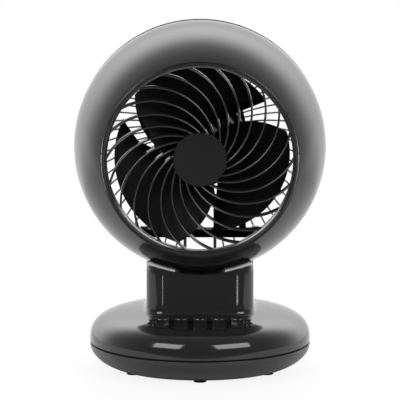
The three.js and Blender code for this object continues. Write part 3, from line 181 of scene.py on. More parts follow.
class FanBaseSettings(PropertyGroup):
    """Pedestal base: cover with its neck, bottom and feet."""

    radius: length("Base radius", "Largest radius of the base", 0.11)
    seam_z: length("Seam height", "Height of the seam between cover and bottom", 0.0265)
    seam_gap: length("Seam gap", "Width of the shadow line at the seam", 0.0015)
    top_rise: length("Top rise", "Height of the cover's top above the seam", 0.034)
    top_across: FloatProperty(name="Top power across", description="Superellipse power across", default=4.6)
    top_up: FloatProperty(name="Top power up", description="Superellipse power up", default=2.9)
    fall: length("Fall", "Depth of the bottom's curve under the seam", 0.03)
    fall_across: FloatProperty(name="Fall power across", description="Superellipse power across", default=3.6)
    fall_up: FloatProperty(name="Fall power up", description="Superellipse power down", default=2.0)
    wall: length("Wall", "Thickness of the base's shells", 0.003)
    foot_proud: length("Foot height", "Height of the bottom above the floor", 0.003)
    neck_half_width: length("Neck half width", "Half the neck's width", 0.0535)
    neck_half_depth: length("Neck half depth", "Half the neck's depth", 0.05)
    neck_corner: length("Neck corner", "Radius of the neck's upright corners", 0.018)
    neck_fillet: length("Neck fillet", "Fillet between neck and base", 0.008)
    dish_gap: length("Dish gap", "Gap between the ball and the neck's dished top", 0.005)
    lip_radius: length("Lip radius", "Rounding of the neck's lip", 0.0016)
    throat_radius: length("Throat", "Radius of the turret's hole in the dish", 0.0254)


class FanKeySettings(PropertyGroup):
    """Push keys and the bank that they stand in."""

    pitch: length("Pitch", "Distance between the keys' middles", 0.01875)
    width: length("Width", "Width of one key", 0.0133)
    dish: length("Dish", "Depth of the hollow in a key's top", 0.0013)
    upturn: length("Upturn", "How far a key's rear end turns up", 0.0018)
    upturn_length: length("Upturn length", "How much of a key turns up", 0.0013)
    upturn_hollow: length("Upturn hollow", "How much longer the upturn is at a key's sides", 0.0018)
    rear_y: length("Rear edge", "Rear ends of the keys", -0.062)
    rear_z: length("Rear height", "Height of the key tops at their rear ends", 0.0602)
    slope: FloatProperty(name="Slope", description="Fall of the key tops towards the front", default=0.125)
    bank_front: length("Bank front", "Radius that the bank's front follows", 0.0915)
    bank_half: length("Bank half width", "Half the width of the key bank", 0.054)
    cheek: length("Cheek", "Width of the cheek at each end", 0.0093)
    floor_drop: length("Floor", "Depth of the floor between the keys", 0.0035)
    edge_radius: length("Edge radius", "Rounding of the keys' edges", 0.0009)


class FanFinishSettings(PropertyGroup):
    """Colours of the finishes."""

    gloss_black: colour("Gloss black", "Shells of head and base", (0.012, 0.012, 0.0125))
    satin_black: colour("Satin black", "Rear grille and the bottom of the base", (0.016, 0.016, 0.0165))
    grille_black: colour("Grille black", "Front grille", (0.012, 0.012, 0.0125))
    # The hub cap's colour is the satin black made darker: painted shade against the light that the glint
    # lamps throw on the cap.
    cap_black: colour("Cap black", "Hub cap", (0.011, 0.011, 0.0115))
    matt_black: colour("Matt black", "Impeller, bracket and turret", (0.0025, 0.0025, 0.0025))
    grey_plastic: colour("Grey plastic", "Clamp and capacitor", (0.15, 0.152, 0.155))
    white_plastic: colour("White plastic", "Gears and thrust washer", (0.68, 0.66, 0.62))
    rubber: colour("Rubber", "Feet and cord bush", (0.012, 0.012, 0.012))
    steel: colour("Steel", "Shaft, screws and motor core", (0.5, 0.51, 0.52))
    # Far darker than the motor cases' own dark grey: the extra darkness is painted shade on the motor's face
    # inside the ball.
    dark_steel: colour("Dark steel", "Motor cases and ballast", (0.006, 0.0062, 0.0066))
    bronze: colour("Bronze", "Plain bearings", (0.42, 0.27, 0.12))


class FanStudioSettings(PropertyGroup):
    """Camera, lamps and floor."""

    camera_distance: length("Camera distance", "From the camera to the middle of the picture", 15.0)
    camera_height: length("Picture middle", "Height of the picture's middle at the base's axis", 0.1699)
    camera_elevation: angle("Camera elevation", "Angle that the camera looks down", 10.58)
    picture_width: length("Picture width", "Width that the picture shows at the object", 0.4)
    floor_radius: length("Floor radius", "Radius of the pale floor", 0.62)
    floor_front: length("Floor front", "Front edge of the pale floor", -0.3)
    floor_colour: colour("Floor", "Colour of the floor", (0.8, 0.8, 0.8))
    softbox_power: power("Softbox power", "Power of each front softbox", 9)
    glint_strength: FloatProperty(name="Glint strength", default=0.03,
                                  description="Strength of the low, narrow lights on the neck's corners")


SETTINGS = {
    "fan_head": FanHeadSettings,
    "fan_grille": FanGrilleSettings,
    "fan_impeller": FanImpellerSettings,
    "fan_base": FanBaseSettings,
    "fan_keys": FanKeySettings,
    "fan_finish": FanFinishSettings,
    "fan_studio": FanStudioSettings,
}


# ---- outlines ----


def lerp(a, b, t):
    return a + (b - a) * t


def parts(n):
    """n + 1 even steps from 0 to 1."""
    return [i / n for i in range(n + 1)]


def polar(radius, turn):
    return radius * math.cos(turn), radius * math.sin(turn)


def arc(radius, start, end, n, centre=(0, 0)):
    """Points on an arc from one angle to another."""
    return [Vector((centre[0] + radius * math.cos(a), centre[1] + radius * math.sin(a)))
            for a in (lerp(start, end, t) for t in parts(n))]


def softened(outline, radius, n=4):
    """A closed outline with its sharp corners rounded."""
    points = [Vector(p) for p in outline]
    rounded = []
    for i, corner in enumerate(points):
        before = points[i - 1] - corner
        after = points[(i + 1) % len(points)] - corner
        turn = math.pi - before.angle(after) if before.length and after.length else 0
        if corner.x < AXIS_TOUCH or turn < LEAST_CORNER:
            rounded.append(corner)
            continue
        cut = min(radius * math.tan(turn / 2), 0.45 * before.length, 0.45 * after.length)
        start = corner + before.normalized() * cut
        end = corner + after.normalized() * cut
        rounded += [start.lerp(corner, t).lerp(corner.lerp(end, t), t) for t in parts(n)]
    return rounded


def rod(radius, start, end):
    """Outline of a plain rod on its axis."""
    return [(0, start), (radius, start), (radius, end), (0, end)]


# ---- forms: (points, faces) pairs ----


def together(*forms):
    """Several forms as one."""
    points, faces = [], []
    for more_points, more_faces in forms:
        start = len(points)
        points += more_points
        faces += [[start + i for i in face] for face in more_faces]
    return points, faces


def moved(form, matrix):
    return [matrix @ Vector(p) for p in form[0]], form[1]


def turned(form, turn):
    """A form turned about the head's axis."""
    return moved(form, Matrix.Rotation(turn, 4, "Y"))


def lathe(outline, axis="Z", segments=192):
    """A closed outline of (radius, along) points turned round an axis, which it may touch."""
    points, faces, rows = [], [], []
    for radius, along in outline:
        size = 1 if radius < AXIS_TOUCH else segments
        rows.append(list(range(len(points), len(points) + size)))
        for i in range(size):
            u, v = polar(radius, FULL_TURN * i / segments)
            points.append(Vector((u, along, v)) if axis == "Y" else Vector((u, v, along)))
    for a, b in zip(rows, rows[1:] + rows[:1]):
        for i in range(segments):
            quad = [a[i % len(a)], a[(i + 1) % len(a)], b[(i + 1) % len(b)], b[i % len(b)]]
            corners = list(dict.fromkeys(quad))
            if len(corners) > 2:
                faces.append(corners)
    return points, faces


def skin(rings, closed=False):
    """Quads between rings of equal point count; the ends are filled, or joined to each other."""
    n = len(rings[0])
    points = [Vector(p) for ring in rings for p in ring]
    faces = []
    for i in range(len(rings) if closed else len(rings) - 1):
        a, b = i * n, (i + 1) % len(rings) * n
        faces += [[a + j, a + (j + 1) % n, b + (j + 1) % n, b + j] for j in range(n)]
    if not closed:
        faces.append(list(range(n))[::-1])
        faces.append([(len(rings) - 1) * n + j for j in range(n)])
    return points, faces


def wall(rows, columns, near, far):
    """A thin wall between two faces, each a function of (u, v) from 0 to 1."""
    rings = []
    for u in parts(rows):
        there = [near(u, v) for v in parts(columns)]
        back = [far(u, v) for v in parts(columns)][::-1]
        rings.append(there + back)
    return skin(rings)


def block(low, high):
    """Box between two corners."""
    (x0, y0, z0), (x1, y1, z1) = low, high
    return skin([[(x0, y0, z), (x1, y0, z), (x1, y1, z), (x0, y1, z)] for z in (z0, z1)])


def middle_of(low, high):
    """Middle of a box between two corners."""
    return [(a + b) / 2 for a, b in zip(low, high)]


# ---- from form to piece ----


def placed(name, data):
    """A new object of the scene."""
    made = bpy.data.objects.new(name, data)
    bpy.context.scene.collection.objects.link(made)
    return made


def face_out(mesh, join_flats=False):
    """Turns a mesh's faces out, and first joins the flats that triangles split."""
    whole = bmesh.new()
    whole.from_mesh(mesh)
    if join_flats:
        bmesh.ops.remove_doubles(whole, verts=whole.verts, dist=1e-6)
        bmesh.ops.dissolve_limit(whole, angle_limit=math.radians(1), verts=whole.verts, edges=whole.edges)
    bmesh.ops.recalc_face_normals(whole, faces=whole.faces)
    whole.to_mesh(mesh)
    whole.free()


def mesh_object(name, form):
    """A form as an object."""
    mesh = bpy.data.meshes.new(name)
    mesh.from_pydata(form[0], [], form[1])
    face_out(mesh)
    return placed(name, mesh)


def apply_modifiers(piece):
    """Keeps what the piece's modifiers made, and drops them."""
    bpy.context.view_layer.update()
    result = bpy.data.meshes.new_from_object(piece.evaluated_get(bpy.context.evaluated_depsgraph_get()))
    piece.modifiers.clear()
    piece.data = result


def cut_away(piece, form):
    """Takes a closed form out of a piece."""
    cutter = mesh_object(piece.name + "_cutter", form)
    modifier = piece.modifiers.new("cut", "BOOLEAN")
    modifier.operation = "DIFFERENCE"
    modifier.solver = "EXACT"
    modifier.object = cutter
    apply_modifiers(piece)
    bpy.data.objects.remove(cutter)


def round_edges(piece, radius, least_turn=LEAST_EDGE, segments=2):
    """Rounds a piece's sharp edges."""
    modifier = piece.modifiers.new("edges", "BEVEL")
    modifier.width = radius
    modifier.segments = segments
    modifier.limit_method = "ANGLE"
    modifier.angle_limit = least_turn
    apply_modifiers(piece)


def finished(piece, material, body, nodes=()):
    """Gives a piece its finish, its smooth shading and its body."""
    piece.data.materials.clear()
    piece.data.materials.append(material)
    piece.data.shade_smooth()
    piece.data.set_sharp_from_angle(angle=LEAST_EDGE)
    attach(piece, body)
    if nodes:
        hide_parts(*nodes)
    return piece


def dressed(node, material, body, radius=0.0004):
    """A finished copy of a node whose own shape is right: its flats joined and its edges rounded."""
    solid = frame["nodes"][node].data
    form = [v.co.copy() for v in solid.vertices], [list(p.vertices) for p in solid.polygons]
    piece = mesh_object(node + "_finished", form)
    face_out(piece.data, join_flats=True)
    round_edges(piece, radius)
    return finished(piece, material, body, [node])


def repainted(node, material):
    """A node that stays as it is, with a better material."""
    mesh = frame["nodes"][node].data
    mesh.materials.clear()
    mesh.materials.append(material)


# ---- finishes ----


# roughness from and to, grains per metre, relief in metres, variety of the tone, sheen
PLASTICS = {
    "gloss_black": ((0.07, 0.12), 260, 4e-6, 1.2, 0.5),
    "satin_black": ((0.3, 0.38), 2600, 1.5e-5, 1.2, 0.5),
    "grille_black": ((0.13, 0.18), 2600, 6e-6, 1.2, 0.8),
    # The satin black again, darker and with less sheen: its darker tone is painted shade on the hub cap.
    "cap_black": ((0.36, 0.42), 1800, 1e-5, 1.2, 0.16),
    "matt_black": ((0.4, 0.5), 1800, 2e-5, 1.2, 0.12),
    "grey_plastic": ((0.45, 0.55), 1800, 1.5e-5, 1.1, 0.5),
    "white_plastic": ((0.35, 0.45), 900, 1e-5, 1.05, 0.5),
    "rubber": ((0.7, 0.85), 1500, 3e-5, 1.6, 0.5),
    # Dark steel: the cases' own dark grey taken far darker, as painted shade, with little sheen.
    "dark_steel": ((0.38, 0.5), 1400, 1.2e-5, 1.4, 0.1),
}
# roughness from and to, lines per metre, relief in metres, how the lines are stretched
METALS = {
    "steel": ((0.25, 0.4), 500, 6e-6, (1, 1, 8)),
    "bronze": ((0.35, 0.5), 1200, 1e-5, (1, 1, 1)),
}
SHARED_SLOTS = {"grille_black": "satin_black", "cap_black": "satin_black"}
TONE_SCALES = {"plastic": 18, "metal": 60, "floor": 3}  # waves of tone per metre
GLOSS_SCALE = 45  # waves of roughness per metre of plastic
METAL_VARIETY, FLOOR_VARIETY = 1.15, 1.02
NOISE_DETAIL = 3
NOISE_LOW, NOISE_HIGH = 0.3, 0.7  # nearly all of a noise lies between these


def shader_node(tree, kind, output, inputs=(), **settings):
    """Output of a new node, whose inputs take numbers, colours or other nodes' outputs."""
    made = tree.nodes.new("ShaderNode" + kind)
    for name, value in settings.items():
        setattr(made, name, value)
    for name, value in dict(inputs).items():
        if isinstance(value, bpy.types.NodeSocket):
            tree.links.new(value, made.inputs[name])
        else:
            made.inputs[name].default_value = value
    return made.outputs[output]


def calculated(tree, operation, *values):
    """Result of a sum of numbers and sockets."""
    return shader_node(tree, "Math", "Value", enumerate(values), operation=operation)


def new_material(name):
    material = bpy.data.materials.new("finish_" + name)
    material.use_nodes = True
    material["slot"] = SHARED_SLOTS.get(name, name)
    return material, material.node_tree, material.node_tree.nodes["Principled BSDF"]


def speckle(tree, scale, stretch=(1, 1, 1)):
    """Noise that is fixed to the piece, with features of 1/scale metres."""
    place = shader_node(tree, "TexCoord", "Object")
    place = shader_node(tree, "Mapping", "Vector", {"Vector": place, "Scale": stretch})
    return shader_node(tree, "TexNoise", "Fac", {"Vector": place, "Scale": scale, "Detail": NOISE_DETAIL})


def spread(tree, source, low, high):
    """A noise value as a number from low to high."""
    inputs = {"Value": source, "From Min": NOISE_LOW, "From Max": NOISE_HIGH, "To Min": low, "To Max": high}
    return shader_node(tree, "MapRange", "Result", inputs)


def tinted(tree, shader, scale, tone, variety):
    """The base colour, wandering between a tone and a lighter one."""
    light = [min(1, c * variety) for c in tone]
    inputs = {"Factor": spread(tree, speckle(tree, scale), 0, 1), "A": (*tone, 1), "B": (*light, 1)}
    tree.links.new(shader_node(tree, "Mix", "Result", inputs, data_type="RGBA"), shader.inputs["Base Color"])


def bumped(tree, shader, source, height):
    """Relief of a height in metres."""
    relief = shader_node(tree, "Bump", "Normal", {"Height": source, "Strength": 1, "Distance": height})
    tree.links.new(relief, shader.inputs["Normal"])


def moulded(name, tone, roughness, grain, height, variety, sheen):
    """Moulded plastic: a wandering tone, a rougher and a smoother share, and the mould's fine relief."""
    material, tree, shader = new_material(name)
    shader.inputs["Specular IOR Level"].default_value = sheen
    tinted(tree, shader, TONE_SCALES["plastic"], tone, variety)
    tree.links.new(spread(tree, speckle(tree, GLOSS_SCALE), *roughness), shader.inputs["Roughness"])
    bumped(tree, shader, speckle(tree, grain), height)
    return material


def metal(name, tone, roughness, grain, height, stretch):
    """Bare or plated metal with the fine lines of its making."""
    material, tree, shader = new_material(name)
    shader.inputs["Metallic"].default_value = 1
    tinted(tree, shader, TONE_SCALES["metal"], tone, METAL_VARIETY)
    lines = speckle(tree, grain, stretch)
    tree.links.new(spread(tree, lines, *roughness), shader.inputs["Roughness"])
    bumped(tree, shader, lines, height)
    return material


def finishes():
    """Every finish of the fan, made once."""
    tones = bpy.context.scene.fan_finish
    made = {}
    for recipes, make in ((PLASTICS, moulded), (METALS, metal)):
        for name, recipe in recipes.items():
            made[name] = bpy.data.materials.get("finish_" + name) or make(name, getattr(tones, name), *recipe)
    return made


# ---- head ----


def opening_y(head):
    """Plane of the front opening's edge."""
    return -math.sqrt(head.ball_radius**2 - head.opening_radius**2)


def tilt_slot(head, n=24):
    """Cutter for the tilt slot: a wedge round the head's X axis, through the wall of the ball."""
    half, inner, outer = head.slot_half, head.ball_radius - 0.02, head.ball_radius + 0.008
    section = [(-half, inner), (half, inner), (half, outer), (-half, outer)]
    return skin([[(x, r * math.sin(a), -r * math.cos(a)) for x, r in section]
                 for a in (lerp(head.slot_from, head.slot_to, t) for t in parts(n))])


def in_head(form):
    return moved(form, Matrix.Translation(HEAD_CENTRE))


def head_turning(name, outline, rounding, segments=128, steps=4):
    """A piece that is turned round the head's axis."""
    return mesh_object(name, in_head(lathe(softened(outline, rounding, steps), "Y", segments)))


def front_shell_outline(head):
    radius, inner = head.ball_radius, head.ball_radius - head.wall
    seam_y = head.seam_y - head.seam_gap / 2
    socket = head.opening_radius + head.wall
    back = opening_y(head) + head.socket_depth
    edge = math.acos(head.opening_radius / radius)
    outer = arc(radius, -edge, math.asin(seam_y / radius), 56)
    inside = arc(inner, math.asin(seam_y / inner), -math.acos(socket / inner), 40)
    return [*outer, *inside, (socket, back), (head.opening_radius, back)]


def make_front_shell(head, finish):
    shell = head_turning("front_shell_skin", front_shell_outline(head), rounding=0.0005, segments=256)
    cut_away(shell, in_head(tilt_slot(head)))
    return finished(shell, finish["gloss_black"], "head", ["front_shell"])


def rear_outline(head, inset, start_y, ball_steps, blend_steps):
    """Rear surface from a plane to the flat back: ball, then blend; (radius, along) points."""
    centre_y = REAR_HIGH.y - head.rear_blend
    centre_r = math.sqrt((head.ball_radius - head.rear_blend)**2 - centre_y**2)
    tangent = math.atan2(centre_y, centre_r)
    radius = head.ball_radius - inset
    ball = arc(radius, math.asin(start_y / radius), tangent, ball_steps)
    blend = arc(head.rear_blend - inset, tangent, math.pi / 2, blend_steps, (centre_r, centre_y))
    return ball + blend[1:]


def rear_rim_outline(head):
    """Plain rim of the rear shell, with the tongue that slips into the front shell."""
    radius, inner = head.ball_radius + head.rim_proud, head.ball_radius - head.wall
    seam_y = head.seam_y + head.seam_gap / 2
    shoulder, inside_end = seam_y + 0.003, seam_y + 0.004
    tongue = math.sqrt(inner**2 - head.seam_y**2) - CLEARANCE
    tongue_inner, tongue_end = tongue - 0.0022, head.seam_y - 0.007
    outer = arc(radius, math.asin(seam_y / radius), math.asin(head.rim_back / radius), 10)
    inside = arc(inner, math.asin(head.rim_back / inner), math.asin(inside_end / inner), 6)
    return [*outer, *inside, (tongue_inner, shoulder), (tongue_inner, tongue_end), (tongue, tongue_end),
            (tongue, seam_y)]


def rib_section(width, depth):
    """Section of a rib, round outside and narrower inside: (across, inwards) points."""
    half, crown_depth, narrowed = width / 2, depth * 0.35, 0.6
    crown = [(half * math.cos(a), crown_depth * (1 - math.sin(a))) for a in (math.pi * t for t in parts(6))]
    return [*crown, (-half * narrowed, depth), (half * narrowed, depth)]


def band_end(head):
    """Rear end of the bar behind the tilt slot."""
    return head.slot_to + math.radians(4)


def in_band(head, point):
    """Whether a point lies in the band that frames the tilt slot."""
    behind = math.atan2(point.y, -point.z)
    return abs(point.x) < head.slot_half + head.slot_rail and point.z < 0 and behind < band_end(head)


def rear_rib(head, turn):
    """One rib at its place round the axis, in runs that end inside the slot's band."""
    path = rear_outline(head, head.rib_inset, head.rim_back - 0.001, 18, 8)
    path.append(Vector((head.disc_radius - 0.002, path[-1].y)))
    around = Matrix.Rotation(turn, 4, "Y")
    last = len(path) - 1
    rings, outside = [], []
    for i, (radius, y) in enumerate(path):
        ahead = path[min(i + 1, last)] - path[max(i - 1, 0)]
        inward = Vector((-ahead.y, ahead.x)).normalized()
        rings.append([around @ Vector((radius + inward.x * depth, y + inward.y * depth, across))
                      for across, depth in rib_section(head.rib_width, head.rib_depth)])
        outside.append(not in_band(head, around @ Vector((radius, y, 0))))
    runs, run = [], []
    for i, ring in enumerate(rings):
        leaving = i > 0 and outside[i - 1] and not outside[i]
        arriving = not run and outside[min(i + 1, last)]
        if outside[i] or leaving or arriving:
            run.append(ring)
        if leaving:
            runs.append(run)
            run = [ring]
    return [skin(run) for run in [*runs, run] if len(run) > 1]


def ball_patch(head, x0, x1, start, end, columns=4, rows=28):
    """Part of the ball's shell between two planes across X and two angles behind the lowest point."""
    def on(radius):
        def face(u, v):
            x = lerp(x0, x1, v)
            reach = math.sqrt(radius**2 - x**2)
            turn = lerp(start, end, u)
            return x, reach * math.sin(turn), -reach * math.cos(turn)
        return face
    return wall(rows, columns, on(head.ball_radius), on(head.ball_radius - head.wall))


def slot_band(head):
    """Rails beside the tilt slot and the bar across its end."""
    inner, outer, overlap = head.slot_half, head.slot_half + head.slot_rail, 0.0005
    start = math.asin((head.rim_back - 0.002) / head.ball_radius)
    end = band_end(head)
    return together(ball_patch(head, inner, outer, start, end), ball_patch(head, -outer, -inner, start, end),
                    ball_patch(head, -inner - overlap, inner + overlap, head.slot_to, end, 8, 3))


def rear_disc(head):
    """Plain disc with a groove near its edge and a boss that meets the motor."""
    back = REAR_HIGH.y
    radius, front, boss = head.disc_radius, back - head.wall, 0.012
    boss_front, groove = CASE_HIGH.y + CLEARANCE, back - head.disc_groove
    outline = [(0, groove), (radius - 0.006, groove), (radius - 0.005, back), (radius, back), (radius, front),
               (boss, front), (boss, boss_front), (0, boss_front)]
    return lathe(softened(outline, radius=0.0006), "Y", 128)


def bracket_bosses(head):
    """Posts on the rim that take the motor bracket's screws."""
    bracket_low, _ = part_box("motor_bracket")
    top = bracket_low.z - HEAD_CENTRE.z - CLEARANCE
    x, y, _ = middle_of(*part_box("bracket_screw_right"))
    foot = -math.sqrt((head.ball_radius - head.wall)**2 - x**2 - y**2) - 0.001
    foot_radius, top_radius, bore, bore_end = 0.0056, 0.005, 0.0023, top - 0.004
    outline = [(0, foot), (foot_radius, foot), (top_radius, top), (bore, top), (bore, bore_end),
               (0, bore_end)]
    post = lathe(outline, "Z", 32)
    return together(*(moved(post, Matrix.Translation((side * x, y, 0))) for side in (-1, 1)))


def make_rear_grille(head, finish):
    ribs = [rib for i in range(head.ribs) for rib in rear_rib(head, FULL_TURN * i / head.ribs)]
    rim = head_turning("rear_rim_skin", rear_rim_outline(head), rounding=0.0004, segments=256, steps=2)
    cut_away(rim, in_head(tilt_slot(head)))
    finished(rim, finish["gloss_black"], "head")
    lattice = together(*ribs, slot_band(head), rear_disc(head), bracket_bosses(head))
    grille = mesh_object("rear_grille_skin", in_head(lattice))
    return finished(grille, finish["satin_black"], "head", ["rear_grille"])


# ---- front grille ----


def grille_ring(head, grille):
    outer, face = head.opening_radius - CLEARANCE, RING_FACE
    back, ring_back = opening_y(head) + head.socket_depth, face + grille.ring_depth
    inner, step, step_y = grille.ring_inner, grille.ring_step, face + grille.step_depth
    wall_inner, slant, fall = inner + 0.0025, 0.0006, 0.0008
    outline = [(outer, face), (step, face), (step - slant, step_y), (inner, step_y + fall),
               (inner + slant, ring_back), (wall_inner, ring_back), (wall_inner, back), (outer, back)]
    return lathe(softened(outline, grille.edge_radius), "Y", 256)


def hub_ring(grille):
    front = RING_FACE + grille.vane_set_back
    back = front + grille.hub_depth
    inner, outer = grille.hub_radius - grille.hub_wall, grille.hub_radius
    outline = [(inner, front), (outer, front), (outer, back), (inner, back)]
    return lathe(softened(outline, grille.edge_radius), "Y", 128)


def vane_line(grille, n):
    """Middle line of a vane in front view, with the direction across it at each point."""
    start = Vector(polar(grille.hub_radius - ROOT, grille.vane_from))
    end = Vector(polar(grille.ring_inner + 0.001, grille.vane_to))
    chord = end - start
    half = chord.length / 2
    rise = math.sqrt(grille.vane_arc**2 - half**2) / (2 * half)
    centre = (start + end) / 2 + Vector((-chord.y, chord.x)) * rise
    first, last = (math.atan2((p - centre).y, (p - centre).x) for p in (start, end))
    return [(centre + Vector(polar(grille.vane_arc, a)), Vector(polar(1, a)))
            for a in (lerp(first, last, t) for t in parts(n))]


def vane(grille):
    """A curved wall with a round front edge, wider at its back."""
    front, back, depth = grille.vane_front / 2, grille.vane_back / 2, grille.vane_depth
    nose = [(front * math.cos(a), front * (1 - math.sin(a))) for a in (math.pi * t for t in parts(6))]
    section = [*nose, (-back, depth), (back, depth)]
    start = RING_FACE + grille.vane_set_back
    rings = [[(p.x + across.x * w, start + d, p.y + across.y * w) for w, d in section]
             for p, across in vane_line(grille, 28)]
    return skin(rings)


def make_front_grille(head, grille, finish):
    one = vane(grille)
    vanes = [turned(one, FULL_TURN * i / grille.vanes) for i in range(grille.vanes)]
    form = together(grille_ring(head, grille), hub_ring(grille), *vanes)
    piece = mesh_object("front_grille_skin", in_head(form))
    return finished(piece, finish["grille_black"], "head", ["front_grille"])


def make_hub_cap(grille, finish):
    front, radius, rim, rise = CAP_LOW.y, CAP_HIGH.x, grille.cap_rim, grille.cap_rise
    back = RING_FACE + grille.vane_set_back - CLEARANCE
    spigot, spigot_back = grille.hub_radius - grille.hub_wall - CLEARANCE, back + 0.005
    outline = [(0, front + rise), (radius - rim - rise / 2, front + rise), (radius - rim, front),
               (radius - rise / 2, front), (radius, front + rise), (radius, back), (spigot, back),
               (spigot, spigot_back), (0, spigot_back)]
    cap = head_turning("hub_cap_skin", outline, rounding=0.0004, segments=160)
    # The cap's finish is a darker copy of the satin black, which paints shade on it.
    return finished(cap, finish["cap_black"], "head", ["hub_cap"])


# ---- impeller and motor ----


def blade(impeller):
    """A sickle blade; u runs from its front edge to its rear edge, v from the hub to the tip."""
    edge_share, millimetres = 0.25, 1000

    def face(sign):
        def at(u, v):
            tip = impeller.tip_radius - impeller.tip_draw_in * u**1.5
            radius = lerp(impeller.hub_radius - ROOT, tip, v)
            lean = math.radians(impeller.sweep) * (radius - impeller.hub_radius) * millimetres
            x, z = polar(radius, impeller.root_angle - lean - impeller.span * u)
            fullness = math.sin(math.pi * min(max(u, 0.01), 0.99)) ** 0.5
            half = impeller.thickness / 2 * (edge_share + (1 - edge_share) * fullness)
            y = lerp(impeller.front, impeller.back, u) + impeller.camber * math.sin(math.pi * u)
            return x, y + sign * half, z
        return at
    return wall(40, 14, face(-1), face(1))


def impeller_hub(impeller):
    """Cup with a crowned front and a boss for the shaft."""
    radius, front, back = impeller.hub_radius, impeller.hub_front, impeller.hub_back
    inner, hollow, bore = radius - impeller.hub_wall, front + impeller.hub_wall, impeller.bore_radius
    crown, chamfer, inner_crown = 0.006, 0.0018, 0.007
    boss, boss_end = 0.01, back - 0.006
    outline = [(bore, front), (radius - crown, front), (radius - chamfer, front + chamfer),
               (radius, front + crown), (radius, back), (inner, back), (inner, front + crown),
               (radius - inner_crown, hollow), (boss, hollow), (boss, boss_end), (bore, boss_end)]
    return lathe(softened(outline, radius=0.0015), "Y", 128)


def make_impeller(impeller, finish):
    one = blade(impeller)
    blades = [turned(one, FULL_TURN * i / impeller.blades) for i in range(impeller.blades)]
    piece = mesh_object("impeller_skin", in_head(together(impeller_hub(impeller), *blades)))
    return finished(piece, finish["matt_black"], "impeller", ["impeller"])


def make_motor(finish):
    """The two turned cases; the front one has a boss for its bearing."""
    radius, back, split, front_back = CASE_HIGH.x, CASE_HIGH.y, CASE_LOW.y, FRONT_CASE_HIGH.y
    thick, edge, shaft, boss = 0.002, 0.006, 0.005, 0.0128
    inner, front_end = radius - thick, FRONT_CASE_LOW.y
    shoulder = front_end + 0.009
    rear = [(0, back), (radius - edge, back), (radius, back - edge), (radius, split), (inner, split),
            (inner, back - edge), (radius - edge, back - thick), (0, back - thick)]
    front = [(shaft, front_end), (boss, front_end), (boss, shoulder), (radius - edge, shoulder),
             (radius, shoulder + edge), (radius, front_back), (inner, front_back), (inner, shoulder + edge),
             (inner - edge, shoulder + thick), (boss - thick, shoulder + thick),
             (boss - thick, front_end + thick), (shaft, front_end + thick)]
    for node, outline in (("motor_rear_case", rear), ("motor_front_case", front)):
        case = head_turning(node + "_skin", outline, rounding=0.0025)
        # The cases' finish carries painted shade besides their own dark grey.
        finished(case, finish["dark_steel"], "head", [node])


# ---- base ----


def top_height(base, radius):
    """Height of the base's top at a distance from its axis."""
    across = min(radius / base.radius, 1) ** base.top_across
    return base.seam_z + base.seam_gap / 2 + base.top_rise * (1 - across) ** (1 / base.top_up)


def neck_reach(base, turn, grow):
    """How far the neck's outline reaches from the axis at an angle, grown by a margin."""
    a, b, r = base.neck_half_width + grow, base.neck_half_depth + grow, base.neck_corner + grow
    c, s = abs(math.cos(turn)), abs(math.sin(turn))
    if c * (b - r) >= s * a:
        return a / c
    if s * (a - r) >= c * b:
        return b / s
    along = c * (a - r) + s * (b - r)
    return along + math.sqrt(along**2 - (a - r)**2 - (b - r)**2 + r**2)


